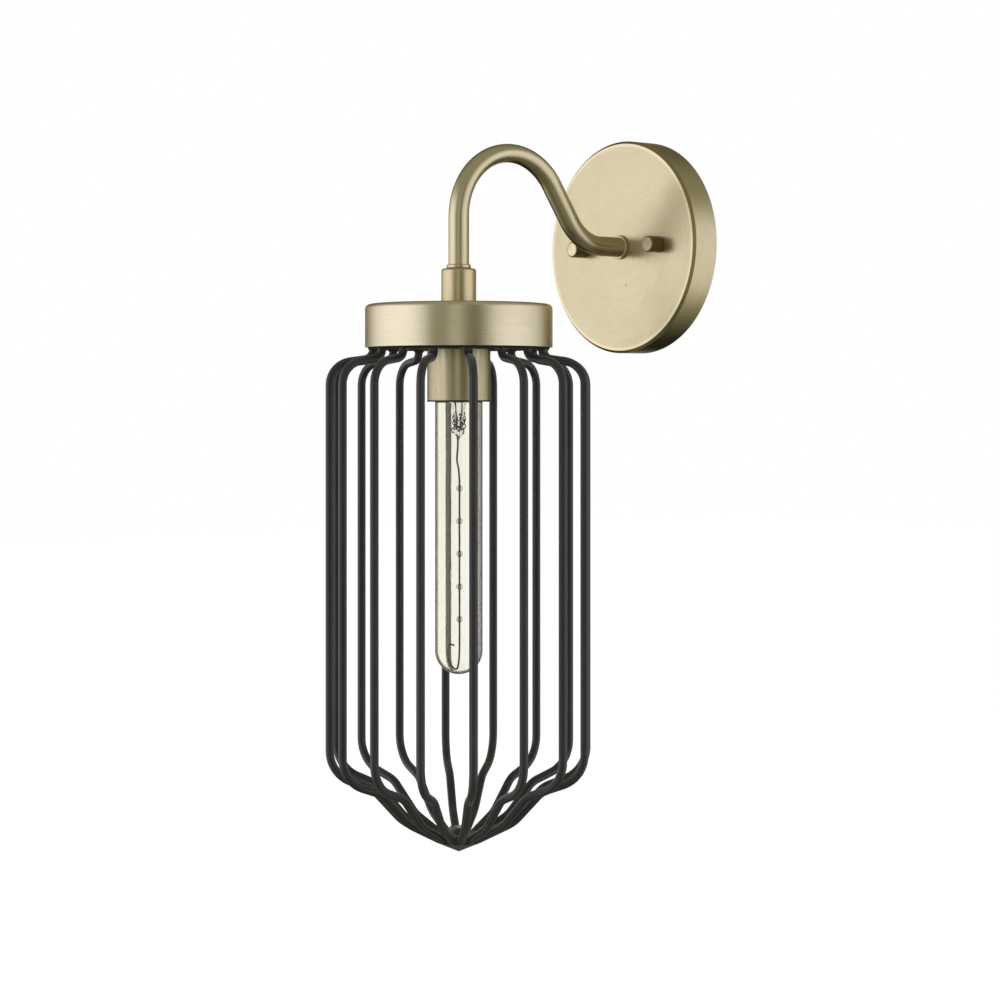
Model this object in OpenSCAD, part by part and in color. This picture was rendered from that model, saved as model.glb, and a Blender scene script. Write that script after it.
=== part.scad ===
// Cage wall light: a round wall plate, a gooseneck arm, a shallow cap with a socket cup,
// and a cage of bent wires round a long tubular bulb.
// The origin is on the wall at the centre of the plate. +X is right, +Y goes into the wall, +Z is up.

/* [Wall plate] */
// Outside diameter of the wall plate
plate_d = 133.35; // [120:0.05:150]
// Depth of the wall plate, from the wall to its face
plate_depth = 19; // [18:0.5:24]
// Thickness of the plate's sheet metal
plate_wall = 1.2; // [0.8:0.1:1.6]
// Bevel at the edge of the plate's face
plate_bevel = 1.5; // [0.5:0.1:3]
// Distance between the two studs that hold the plate
stud_spacing = 69.85; // [60:0.05:76]
// Diameter of the plate studs
stud_d = 4.2; // [3.5:0.1:5]
// Diameter of the knurled cap nuts
cap_nut_d = 10; // [9:0.1:12]
// Length of the knurled cap nuts
cap_nut_l = 10; // [8:0.5:14]
// Number of knurls round a cap nut
knurl_count = 24; // [16:1:30]

/* [Mounting strap] */
// Thickness of the mounting strap
strap_t = 1.6; // [1.2:0.1:2]
// Width of the two bars of the strap
strap_w = 19; // [16:0.5:24]
// Length of the bar that carries the studs
strap_stud_bar_l = 92; // [90:1:104]
// Length of the bar that has the box screw slots
strap_slot_bar_l = 104; // [100:1:110]
// Distance between the centres of the two box screw slots
slot_spacing = 79.4; // [76:0.1:84]
// Length of a box screw slot from end to end
slot_l = 14.2; // [10:0.1:15]
// Width of a box screw slot
slot_w = 4.6; // [4:0.1:5.4]

/* [Arm] */
// Distance from the wall to the axis of the cage
axis_out = 149.225; // [145:0.005:156]
// Outside diameter of the arm's tube
arm_d = 12.3; // [12.1:0.1:13.5]
// Wall of the arm's tube
arm_wall = 1; // [0.8:0.1:1]
// Height of the arch's centre line above the middle of the plate
arch_rise = 53.3; // [50:0.1:56]
// Bend radius of the arch
arch_r = 40; // [36:0.5:42]
// Bend radius of the lower bend
low_r = 32; // [26:0.5:36]
// Steepness of the straight slope between the two bends, in degrees
arm_slope = 56; // [52:0.5:60]
// Drop from the middle of the plate to the ferrule at the arm's lower end
leg_drop = 15.6; // [12:0.1:20]
// Outside diameter of the ferrule ring
ferrule_d = 14.5; // [14.2:0.1:16]
// Height of the ferrule ring
ferrule_h = 2.5; // [2:0.1:4]
// Outside diameter of the collar at the plate
collar_d = 15; // [14.5:0.1:18]
// Thickness of the collar at the plate
collar_t = 2.2; // [1.5:0.1:4]
// Bore of the threaded nipples
nipple_bore = 7.4; // [6.8:0.1:8]

/* [Neck and cap] */
// Outside diameter of the neck coupling
neck_d = 20.8; // [18:0.1:24]
// Height of the neck coupling
neck_h = 21.3; // [18:0.1:26]
// Outside diameter of the cap
cap_d = 111.7; // [106:0.1:118]
// Height of the cap
cap_h = 25.6; // [24:0.1:30]
// Thickness of the cap's sheet metal
cap_wall = 1.2; // [0.8:0.1:1.6]
// Rounding of the cap's top edge
cap_round = 3; // [1.5:0.1:5]

/* [Lampholder] */
// Outside diameter of the socket cup
cup_d = 37.7; // [37:0.1:40]
// Sheet thickness of the socket cup
cup_wall = 0.8; // [0.6:0.1:1]
// Height of the socket cup
cup_h = 50.8; // [49:0.1:56]
// Outside diameter of the lampholder's body
holder_d = 33.6; // [31:0.1:34]
// Height of the lampholder's body
holder_h = 33.5; // [31:0.1:34]
// Depth from the cup's mouth to the lampholder's lower face
holder_inset = 1.9; // [1:0.1:4]
// Thickness of the lampholder's floor
holder_floor = 7; // [5:0.1:8]

/* [Bulb] */
// Outside diameter of the tubular glass
bulb_d = 28.4; // [27:0.1:31]
// Overall length of the bulb from its contact to its round end
bulb_l = 188; // [160:0.5:210]
// Wall of the glass
glass_wall = 0.8; // [0.5:0.1:1.2]
// Outside diameter of the screw base
base_d = 26.1; // [25:0.05:26.4]
// Length of the screw base's shell
base_shell_l = 20.5; // [19:0.1:22]
// Rise of the screw thread in one turn
base_pitch = 3.629; // [3:0.001:4]
// Number of glass beads on the centre wire
bead_count = 5; // [3:1:6]
// Distance between two beads
bead_spacing = 19.5; // [14:0.5:20]
// Diameter of a bead
bead_d = 3.8; // [2.5:0.1:5]

/* [Cage] */
// Diameter across the outside of the cage
cage_d = 158.75; // [150:0.05:170]
// Diameter of the cage wire
wire_d = 5; // [4:0.1:5.1]
// Number of wires
wire_count = 16; // [12:1:16]
// Turn of the first wire from the front
wire_turn = 12.6; // [0:0.1:22.5]
// Gap round the cage plate inside the cap
cage_plate_gap = 0.55; // [0.4:0.05:2.5]
// Thickness of the cage plate
cage_plate_t = 1.5; // [1.2:0.1:2]
// How far the cage plate stands out of the cap's mouth
cage_plate_proud = 1.2; // [0.5:0.1:3]
// Distance from the cage plate's edge to the centre line of the wires
stub_inset = 2.9; // [2.6:0.1:6]
// Drop from the cage plate to the corner of the first bend
stub_drop = 5.3; // [5:0.1:8]
// Fall of the wire's shoulder
shoulder_drop = 3.7; // [2:0.1:8]
// Distance between the corners at the top and the bottom of a bar
bar_l = 243; // [200:0.5:280]
// Radius at the second lower corner of the wires
foot_r = 50.9; // [46:0.1:54]
// Fall of the wire from the bar's corner to the second lower corner
foot_drop = 9.4; // [6:0.1:12]
// Radius at the third lower corner of the wires
waist_r = 33.8; // [31:0.1:36]
// Fall of the wire from the second to the third lower corner
waist_drop = 18.7; // [15:0.1:22]
// Bend radius under the cage plate
stub_bend_r = 5.6; // [4:0.1:5.8]
// Bend radius of the wire's shoulder
shoulder_bend_r = 14; // [10:0.5:15]
// Bend radius at the foot of a bar
bar_bend_r = 19.8; // [14:0.1:22]
// Bend radius at the second lower corner
foot_bend_r = 14.5; // [10:0.5:18]
// Bend radius at the third lower corner
waist_bend_r = 21.5; // [16:0.5:26]
// Radius at which the wires meet the hub
hub_r = 13.6; // [13.4:0.1:15]
// Fall of the wire from the third lower corner to the hub
hub_drop = 10.35; // [8:0.05:12]
// Height of the pointed tip below the hub
tip_h = 6.25; // [4:0.05:12]
// Radius on which the cage plate's posts stand
post_r = 30; // [26:0.5:40]
// Angle that the cage turns through to come free
twist_angle = 20; // [16:1:24]

/* [Hidden] */
$fn = 64;

// Colours
brass = [0.66, 0.58, 0.42];
dark_brass = [0.42, 0.36, 0.25];
black_coat = [0.12, 0.12, 0.13];
zinc = [0.70, 0.71, 0.72];
bright_brass = [0.80, 0.66, 0.36];
porcelain = [0.92, 0.91, 0.88];
clear_glass = [0.93, 0.88, 0.76, 0.4];
dark_wire = [0.20, 0.18, 0.16];
copper = [0.75, 0.45, 0.28];
black_jacket = [0.10, 0.10, 0.10];
white_jacket = [0.90, 0.90, 0.88];
green_jacket = [0.15, 0.45, 0.25];
black_glass = [0.08, 0.08, 0.10];
solder = [0.75, 0.75, 0.76];

// Clearances and small sizes
seat_gap = 0.3;
thread_gap = 0.05;
run_gap = 0.1;
slide_gap = 0.45;
cut = 1;

// Nuts and washers on the nipples
arm_bore = arm_d - 2 * arm_wall;
nipple_d = arm_bore - 2 * thread_gap;
nipple_nut_af = 14;
nipple_nut_t = 3.5;
lock_washer_d = 16;
lock_washer_t = 1;
tail_end_y = -8.5;
nipple_engage = 10;
cap_nipple_engage = 8;
nipple_past_nut = 1;

// Levels along the axis of the cage, downwards from the middle of the plate
ferrule_top = -leg_drop;
neck_top = ferrule_top - ferrule_h;
cap_top = neck_top - neck_h;
cap_bottom = cap_top - cap_h;
cap_inside_top = cap_top - cap_wall;
cap_washer_bottom = cap_inside_top - lock_washer_t;
cap_nut_bottom = cap_washer_bottom - nipple_nut_t;
keyhole_plate_t = 1.5;
keyhole_plate_bottom = cap_nut_bottom - keyhole_plate_t;
cup_top = keyhole_plate_bottom;
cup_inside_top = cup_top - cup_wall;
cup_mouth = cup_top - cup_h;
bracket_t = 1;
bracket_bottom = cup_inside_top - bracket_t;
holder_nut_bottom = bracket_bottom - nipple_nut_t;
cap_nipple_end = holder_nut_bottom - nipple_past_nut;
holder_bottom = cup_mouth + holder_inset;
holder_top = holder_bottom + holder_h;
holder_ceiling = holder_top - holder_floor;
cage_plate_d = cap_d - 2 * cap_wall - 2 * cage_plate_gap;
cage_plate_bottom = cap_bottom - cage_plate_proud;
cage_plate_top = cage_plate_bottom + cage_plate_t;

// Arm route, in a plane: the first number is the distance from the cage's axis towards the wall,
// the second is the height
plate_face_out = axis_out - plate_depth;
arch_centre = [arch_r, arch_rise - arch_r];
slope_normal = [sin(arm_slope), cos(arm_slope)];
slope_dir = [cos(arm_slope), -sin(arm_slope)];
slope_start = arch_centre + arch_r * slope_normal;
slope_l = (slope_start[1] - low_r * (1 - cos(arm_slope))) / sin(arm_slope);
slope_end = slope_start + slope_l * slope_dir;
low_centre = slope_end + low_r * slope_normal;

// Cage wires, in a plane: the first number is the distance from the cage's axis, the second is the height
cage_r = (cage_d - wire_d) / 2;
stub_r = cage_plate_d / 2 - stub_inset;
stub_corner_z = cage_plate_bottom - stub_drop;
shoulder_z = stub_corner_z - shoulder_drop;
foot_z = shoulder_z - bar_l;
second_z = foot_z - foot_drop;
third_z = second_z - waist_drop;
hub_z = third_z - hub_drop;
wire_path = [
    [stub_r, cage_plate_bottom],
    [stub_r, stub_corner_z],
    [cage_r, shoulder_z],
    [cage_r, foot_z],
    [foot_r, second_z],
    [waist_r, third_z],
    [hub_r, hub_z]
];
wire_bends = [0, stub_bend_r, shoulder_bend_r, bar_bend_r, foot_bend_r, waist_bend_r, 0];
wire_end_slope = atan2(hub_drop, waist_r - hub_r);
hub_half_h = wire_d / 2 * cos(wire_end_slope);
hub_flare = wire_d / 2 * sin(wire_end_slope);
hub_top_r = hub_r - hub_flare;
hub_base_r = hub_r + hub_flare;
hub_top = hub_z + hub_half_h;
hub_bottom = hub_z - hub_half_h;
tip_z = hub_bottom - tip_h;
tip_stud_d = 5;
tip_nut_af = 10;
tip_nut_h = 4;
tip_end_r = 0.4;
tip_lap = 0.5;

// Bulb levels
contact_h = 1.2;
contact_r = 4.7;
insulator_h = 2.2;
contact_drop = 2.6;
contact_top = holder_ceiling - contact_drop;
shell_top = contact_top - contact_h - insulator_h;
shell_bottom = shell_top - base_shell_l;
bulb_bottom = contact_top - bulb_l;
bulb_r = bulb_d / 2;
bulb_neck_r = base_d / 2 - 1.3;
bulb_shoulder_h = 2.2;
wire_side_angle = 50;
first_bead_drop = 77.4;
first_bead_z = contact_top - first_bead_drop;
rod_d = 0.8;
rod_x = 0.4;

// Small helpers
module on_axis() {
    translate([0, -axis_out, 0]) children();
}

module ring(outer_d, inner_d, h) {
    difference() {
        cylinder(h = h, d = outer_d);
        translate([0, 0, -cut]) cylinder(h = h + 2 * cut, d = inner_d);
    }
}

module hex_nut(af, bore, h) {
    difference() {
        cylinder(h = h, d = af / cos(30), $fn = 6);
        translate([0, 0, -cut]) cylinder(h = h + 2 * cut, d = bore);
    }
}

// A ring with notches round its edge, as a shakeproof washer has
notch_count = 8;
notch_d = 1.6;

module toothed_washer(outer_d, inner_d, h) {
    difference() {
        cylinder(h = h, d = outer_d);
        translate([0, 0, -cut]) cylinder(h = h + 2 * cut, d = inner_d);
        for (i = [0 : notch_count - 1])
            rotate([0, 0, i * 360 / notch_count])
                translate([outer_d / 2, 0, -cut])
                    cylinder(h = h + 2 * cut, d = notch_d);
    }
}

// A ring whose outer edges are rounded
module rounded_ring(outer_d, inner_d, h, round_r) {
    difference() {
        rotate_extrude()
            union() {
                square([outer_d / 2 - round_r, h]);
                translate([0, round_r]) square([outer_d / 2, h - 2 * round_r]);
                translate([outer_d / 2 - round_r, round_r]) circle(r = round_r);
                translate([outer_d / 2 - round_r, h - round_r]) circle(r = round_r);
            }
        translate([0, 0, -cut]) cylinder(h = h + 2 * cut, d = inner_d);
    }
}

// Turns a solid that points up so that it points out of the wall
module out_of_wall() {
    rotate([90, 0, 0]) children();
}

// Plane path of straight runs and round bends
function unit(v) = v / norm(v);
function half_angle(p, i) = acos(unit(p[i - 1] - p[i]) * unit(p[i + 1] - p[i])) / 2;
function bend_run(p, b, i) = b[i] / tan(half_angle(p, i));
function bend_in(p, b, i) = b[i] == 0 ? p[i] : p[i] + unit(p[i - 1] - p[i]) * bend_run(p, b, i);
function bend_out(p, b, i) = b[i] == 0 ? p[i] : p[i] + unit(p[i + 1] - p[i]) * bend_run(p, b, i);
function bend_centre(p, b, i) =
    p[i] + unit(unit(p[i - 1] - p[i]) + unit(p[i + 1] - p[i])) * b[i] / sin(half_angle(p, i));
function heading(v) = atan2(v[1], v[0]);
function wrap(a) = a > 180 ? a - 360 : a < -180 ? a + 360 : a;

// Rod and tube draw down by this much in a bend, and a straight run laps over the bend's ends
bend_draw = 0.06;
bend_lap = 0.3;

module plane_bar(a, b, d, lap_a = 0, lap_b = 0) {
    translate([a[0], a[1], 0])
        rotate([0, 0, heading(b - a)])
            rotate([0, 90, 0])
                translate([0, 0, -lap_a])
                    cylinder(h = norm(b - a) + lap_a + lap_b, d = d);
}

module plane_bend(centre, from, to, d) {
    sweep = wrap(heading(to - centre) - heading(from - centre));
    start = sweep > 0 ? from : to;
    translate([centre[0], centre[1], 0])
        rotate([0, 0, heading(start - centre)])
            rotate_extrude(angle = abs(sweep))
                translate([norm(from - centre), 0])
                    circle(d = d - bend_draw);
}

module plane_rod(p, b, d) {
    last = len(p) - 1;
    union() {
        for (i = [0 : last - 1])
            plane_bar(
                bend_out(p, b, i),
                bend_in(p, b, i + 1),
                d,
                i == 0 ? 0 : bend_lap,
                i == last - 1 ? 0 : bend_lap
            );
        for (i = [1 : last - 1])
            plane_bend(bend_centre(p, b, i), bend_in(p, b, i), bend_out(p, b, i), d);
    }
}

// A lead or thin wire: rings of points along a route, joined into one closed tube
function ring_normal(t, side) = unit(side - (side * t) * t);
function route_dir(r, i) =
    i == 0 ? unit(r[1] - r[0])
    : i == len(r) - 1 ? unit(r[i] - r[i - 1])
    : unit(unit(r[i + 1] - r[i]) + unit(r[i] - r[i - 1]));
function ring_points(c, t, side, rad, sides) =
    let (n = ring_normal(t, side), m = cross(t, n))
    [for (k = [0 : sides - 1]) c + rad * (cos(360 * k / sides) * n + sin(360 * k / sides) * m)];

module route_tube(route, d, side = [1, 0, 0], sides = 8) {
    count = len(route);
    points = [
        for (i = [0 : count - 1])
            each ring_points(route[i], route_dir(route, i), side, d / 2, sides)
    ];
    walls = [
        for (i = [0 : count - 2], k = [0 : sides - 1])
            let (a = i * sides + k, b = i * sides + (k + 1) % sides)
            each [[a, a + sides, b], [b, a + sides, b + sides]]
    ];
    first = [for (k = [0 : sides - 1]) k];
    end = [for (k = [sides - 1 : -1 : 0]) (count - 1) * sides + k];
    polyhedron(points = points, faces = concat([first], [end], walls), convexity = 6);
}

// Wall side
plate_inside_y = -plate_depth + plate_wall;
washer_y = plate_inside_y + lock_washer_t;
terminal_t = 0.8;
tail_nut_y = washer_y + terminal_t;
stud_hole_d = stud_d + 1.2;
stud_tip_y = -plate_depth - cap_nut_l + 3;
bevel_shift = plate_wall * tan(22.5);
stud_nut_af = 8.7;
stud_nut_t = 3.3;
plate_r = plate_d / 2;

module wall_plate() {
    color(brass)
        out_of_wall()
            difference() {
                rotate_extrude(convexity = 4)
                    polygon([
                        [0, plate_depth],
                        [plate_r - plate_bevel, plate_depth],
                        [plate_r, plate_depth - plate_bevel],
                        [plate_r, 0],
                        [plate_r - plate_wall, 0],
                        [plate_r - plate_wall, plate_depth - plate_bevel - bevel_shift],
                        [plate_r - plate_bevel - bevel_shift, plate_depth - plate_wall],
                        [0, plate_depth - plate_wall]
                    ]);
                translate([0, 0, plate_depth - plate_wall - cut])
                    cylinder(h = plate_wall + 2 * cut, d = nipple_d + seat_gap);
                for (x = [-stud_spacing / 2, stud_spacing / 2])
                    translate([x, 0, plate_depth - plate_wall - cut])
                        cylinder(h = plate_wall + 2 * cut, d = stud_hole_d);
            }
}

module round_ended_bar(l, w, t) {
    linear_extrude(height = t)
        union() {
            square([l - w, w], center = true);
            translate([-(l - w) / 2, 0]) circle(d = w);
            translate([(l - w) / 2, 0]) circle(d = w);
        }
}

strap_boss_d = 32;
strap_hole_d = 14;
ground_x = 20;
ground_screw_d = 4.8;
ground_head_d = 9;
ground_flange_d = 11;
ground_flange_t = 1;
ground_head_t = 3.6;
ground_slot_w = 1.2;
ground_slot_depth = 1.2;

module mounting_strap() {
    color(zinc)
        out_of_wall()
            difference() {
                union() {
                    round_ended_bar(strap_stud_bar_l, strap_w, strap_t);
                    rotate([0, 0, 90]) round_ended_bar(strap_slot_bar_l, strap_w, strap_t);
                    cylinder(h = strap_t, d = strap_boss_d);
                }
                translate([0, 0, -cut]) cylinder(h = strap_t + 2 * cut, d = strap_hole_d);
                for (s = [-1, 1]) {
                    translate([s * stud_spacing / 2, 0, -cut])
                        cylinder(h = strap_t + 2 * cut, d = stud_d + 2 * thread_gap);
                    translate([0, s * slot_spacing / 2, -cut])
                        rotate([0, 0, 90])
                            round_ended_bar(slot_l, slot_w, strap_t + 2 * cut);
                }
                translate([ground_x, 0, -cut])
                    cylinder(h = strap_t + 2 * cut, d = ground_screw_d + 2 * thread_gap);
            }
}

module plate_studs() {
    color(zinc)
        for (x = [-stud_spacing / 2, stud_spacing / 2])
            translate([x, 0, 0])
                out_of_wall()
                    cylinder(h = -stud_tip_y, d = stud_d);
}

module stud_lock_nuts() {
    color(zinc)
        for (x = [-stud_spacing / 2, stud_spacing / 2])
            translate([x, -strap_t, 0])
                out_of_wall()
                    hex_nut(stud_nut_af, stud_d + 2 * thread_gap, stud_nut_t);
}

module ground_screw() {
    color(green_jacket)
        translate([ground_x, 0, 0])
            out_of_wall()
                difference() {
                    union() {
                        cylinder(h = strap_t + ground_flange_t, d = ground_screw_d);
                        translate([0, 0, strap_t]) cylinder(h = ground_flange_t, d = ground_flange_d);
                        translate([0, 0, strap_t]) cylinder(h = ground_head_t, d = ground_head_d, $fn = 6);
                    }
                    translate([
                        -ground_head_d,
                        -ground_slot_w / 2,
                        strap_t + ground_head_t - ground_slot_depth
                    ])
                        cube([2 * ground_head_d, ground_slot_w, ground_slot_depth + cut]);
                }
}

module cap_nut() {
    chamfer = 0.5;
    end_wall = 2;
    knurl_w = 0.7;
    knurl_out = 0.1;
    r = cap_nut_d / 2;
    bore_l = cap_nut_l - end_wall;
    out_of_wall()
        difference() {
            rotate_extrude()
                polygon([
                    [0, 0],
                    [r - chamfer, 0],
                    [r, chamfer],
                    [r, cap_nut_l - chamfer],
                    [r - chamfer, cap_nut_l],
                    [0, cap_nut_l]
                ]);
            translate([0, 0, -cut])
                cylinder(h = bore_l + cut, d = stud_d + 2 * thread_gap);
            for (i = [0 : knurl_count - 1])
                rotate([0, 0, i * 360 / knurl_count])
                    translate([r + knurl_out, 0, -cut])
                        cylinder(h = cap_nut_l + 2 * cut, d = knurl_w, $fn = 16);
        }
}

module left_cap_nut() {
    color(dark_brass)
        translate([-stud_spacing / 2, -plate_depth, 0])
            cap_nut();
}

module right_cap_nut() {
    color(dark_brass)
        translate([stud_spacing / 2, -plate_depth, 0])
            cap_nut();
}

// Arm: the whole tube lies in the plane through the cage's axis, square to the wall
leg_bottom_z = neck_top;
bead_round = 0.7;

module arm_shape(d, extra) {
    union() {
        plane_bar([0, leg_bottom_z], [0, arch_centre[1]], d, extra, bend_lap);
        plane_bend(arch_centre, slope_start, [0, arch_centre[1]], d);
        plane_bar(slope_start, slope_end, d, bend_lap, bend_lap);
        plane_bend(low_centre, slope_end, [low_centre[0], 0], d);
        plane_bar([low_centre[0], 0], [plate_face_out, 0], d, bend_lap, extra);
    }
}

module in_arm_plane() {
    on_axis()
        rotate([90, 0, 90])
            children();
}

module arm_tube() {
    color(brass)
        in_arm_plane()
            difference() {
                arm_shape(arm_d, 0);
                arm_shape(arm_bore, cut);
            }
}

module arm_collar() {
    color(brass)
        translate([0, -plate_depth, 0])
            out_of_wall()
                rounded_ring(collar_d, arm_d + 2 * thread_gap, collar_t, bead_round);
}

module arm_tail_nipple() {
    color(zinc)
        translate([0, tail_end_y, 0])
            out_of_wall()
                ring(nipple_d, nipple_bore, plate_depth + tail_end_y + nipple_engage);
}

module tail_lock_washer() {
    color(zinc)
        translate([0, washer_y, 0])
            out_of_wall()
                toothed_washer(lock_washer_d, nipple_d + 2 * thread_gap, lock_washer_t);
}

module tail_nut() {
    color(zinc)
        translate([0, tail_nut_y + nipple_nut_t, 0])
            out_of_wall()
                hex_nut(nipple_nut_af, nipple_d + 2 * thread_gap, nipple_nut_t);
}

module arm_ferrule() {
    color(brass)
        on_axis()
            translate([0, 0, ferrule_top - ferrule_h])
                rounded_ring(ferrule_d, arm_d + 2 * thread_gap, ferrule_h, bead_round);
}

module arm_leg_nipple() {
    color(zinc)
        on_axis()
            translate([0, 0, neck_top - nipple_engage])
                ring(nipple_d, nipple_bore, 2 * nipple_engage);
}

module neck_coupling() {
    round_r = 1.5;
    color(brass)
        on_axis()
            translate([0, 0, cap_top])
                difference() {
                    rotate_extrude()
                        union() {
                            square([neck_d / 2, neck_h - round_r]);
                            square([neck_d / 2 - round_r, neck_h]);
                            translate([neck_d / 2 - round_r, neck_h - round_r]) circle(r = round_r);
                        }
                    translate([0, 0, -cut])
                        cylinder(h = neck_h + 2 * cut, d = nipple_d + 2 * thread_gap);
                }
}

module cap() {
    inner_round = max(cap_round - cap_wall, 0.3);
    inside_r = cap_d / 2 - cap_wall;
    color(brass)
        on_axis()
            translate([0, 0, cap_bottom])
                difference() {
                    rotate_extrude()
                        union() {
                            square([cap_d / 2, cap_h - cap_round]);
                            square([cap_d / 2 - cap_round, cap_h]);
                            translate([cap_d / 2 - cap_round, cap_h - cap_round]) circle(r = cap_round);
                        }
                    rotate_extrude()
                        difference() {
                            union() {
                                translate([0, -cut])
                                    square([inside_r, cap_h - cap_wall - inner_round + cut]);
                                square([inside_r - inner_round, cap_h - cap_wall]);
                                translate([inside_r - inner_round, cap_h - cap_wall - inner_round])
                                    circle(r = inner_round);
                            }
                            translate([-cap_d, -cap_d]) square([cap_d, 2 * cap_d]);
                        }
                    translate([0, 0, cap_h - cap_wall - cut])
                        cylinder(h = cap_wall + 2 * cut, d = nipple_d + seat_gap);
                }
}

module cap_nipple() {
    top = cap_top + cap_nipple_engage;
    color(zinc)
        on_axis()
            translate([0, 0, cap_nipple_end])
                ring(nipple_d, nipple_bore, top - cap_nipple_end);
}

module cap_lock_washer() {
    color(zinc)
        on_axis()
            translate([0, 0, cap_washer_bottom])
                toothed_washer(lock_washer_d, nipple_d + 2 * thread_gap, lock_washer_t);
}

module cap_lock_nut() {
    color(zinc)
        on_axis()
            translate([0, 0, cap_nut_bottom])
                hex_nut(nipple_nut_af, nipple_d + 2 * thread_gap, nipple_nut_t);
}

// The keyhole plate hangs the cage: each post's head drops through a wide hole and turns along a slot
post_d = 4;
post_head_d = 7.4;
post_head_t = 1.6;
keyhole_d = post_head_d + 1.2;
post_slot_w = post_d + 0.8;
post_run_w = post_slot_w - 0.1;
keyhole_plate_d = 2 * post_r + keyhole_d + 10;
post_angles = [90, 210, 330];

module keyhole_plate() {
    color(zinc)
        on_axis()
            translate([0, 0, keyhole_plate_bottom])
                difference() {
                    cylinder(h = keyhole_plate_t, d = keyhole_plate_d);
                    translate([0, 0, -cut])
                        cylinder(h = keyhole_plate_t + 2 * cut, d = nipple_d + seat_gap);
                    for (a = post_angles)
                        rotate([0, 0, a])
                            translate([0, 0, -cut]) {
                                translate([post_r, 0, 0])
                                    cylinder(h = keyhole_plate_t + 2 * cut, d = post_slot_w);
                                rotate([0, 0, -twist_angle])
                                    translate([post_r, 0, 0])
                                        cylinder(h = keyhole_plate_t + 2 * cut, d = keyhole_d);
                                rotate([0, 0, -twist_angle])
                                    rotate_extrude(angle = twist_angle)
                                        translate([post_r - post_run_w / 2, 0])
                                            square([post_run_w, keyhole_plate_t + 2 * cut]);
                            }
                }
}

// Lampholder
cup_r = cup_d / 2;

module socket_cup() {
    round_r = 2;
    color(brass)
        on_axis()
            translate([0, 0, cup_mouth])
                difference() {
                    rotate_extrude()
                        union() {
                            square([cup_r, cup_h - round_r]);
                            square([cup_r - round_r, cup_h]);
                            translate([cup_r - round_r, cup_h - round_r]) circle(r = round_r);
                        }
                    translate([0, 0, -cut])
                        cylinder(h = cup_h - round_r + cut, r = cup_r - cup_wall);
                    translate([0, 0, -cut])
                        cylinder(h = cup_h - cup_wall + cut, r = cup_r - round_r);
                    translate([0, 0, cup_h - cup_wall - cut])
                        cylinder(h = cup_wall + 2 * cut, d = nipple_d + seat_gap);
                }
}

bracket_half_span = 11;
bracket_w = 12;

module lampholder_bracket() {
    leg_h = bracket_bottom - holder_top;
    foot_l = 4;
    color(zinc)
        on_axis()
            difference() {
                union() {
                    translate([-bracket_w / 2, -bracket_half_span, bracket_bottom])
                        cube([bracket_w, 2 * bracket_half_span, bracket_t]);
                    for (s = [-1, 1])
                        translate([
                            -bracket_w / 2,
                            s * (bracket_half_span - bracket_t / 2) - bracket_t / 2,
                            holder_top
                        ])
                            cube([bracket_w, bracket_t, leg_h + bracket_t]);
                    for (s = [-1, 1])
                        translate([
                            -bracket_w / 2,
                            s * (bracket_half_span - bracket_t + foot_l / 2) - foot_l / 2,
                            holder_top
                        ])
                            cube([bracket_w, foot_l, bracket_t]);
                }
                translate([0, 0, bracket_bottom - cut])
                    cylinder(h = bracket_t + 2 * cut, d = nipple_d + seat_gap);
            }
}

module lampholder_nut() {
    color(zinc)
        on_axis()
            translate([0, 0, holder_nut_bottom])
                hex_nut(nipple_nut_af, nipple_d + 2 * thread_gap, nipple_nut_t);
}

shell_wall = 0.5;
shell_bore_r = base_d / 2 + run_gap;
shell_out_r = shell_bore_r + shell_wall;
shell_flange_r = 9;
lead_d = 2.2;
lead_hole_d = lead_d + 2 * seat_gap;
live_x = -6;
neutral_x = 11;

module lampholder_body() {
    color(porcelain)
        on_axis()
            difference() {
                translate([0, 0, holder_bottom]) cylinder(h = holder_h, d = holder_d);
                translate([0, 0, holder_bottom - cut])
                    cylinder(h = holder_h - holder_floor + cut, r = shell_out_r + thread_gap);
                for (x = [live_x, neutral_x])
                    translate([x, 0, holder_ceiling - cut])
                        cylinder(h = holder_floor + 2 * cut, d = lead_hole_d);
            }
}

module lampholder_shell() {
    shell_l = holder_h - holder_floor - 1;
    color(bright_brass)
        on_axis()
            translate([0, 0, holder_ceiling - shell_l])
                difference() {
                    cylinder(h = shell_l, r = shell_out_r);
                    translate([0, 0, -cut]) cylinder(h = shell_l - shell_wall + cut, r = shell_bore_r);
                    translate([0, 0, -cut]) cylinder(h = shell_l + 2 * cut, r = shell_flange_r);
                }
}

module centre_contact() {
    strip_w = 6;
    strip_t = 0.6;
    tongue_d = 4;
    strip_start = live_x - 1.5;
    strip_l = 8.5;
    tongue_drop = contact_drop - strip_t;
    color(bright_brass)
        on_axis()
            union() {
                translate([strip_start, -strip_w / 2, holder_ceiling - strip_t])
                    cube([strip_l, strip_w, strip_t]);
                translate([0, 0, contact_top])
                    cylinder(h = tongue_drop + strip_t / 2, d = tongue_d);
            }
}

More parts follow.
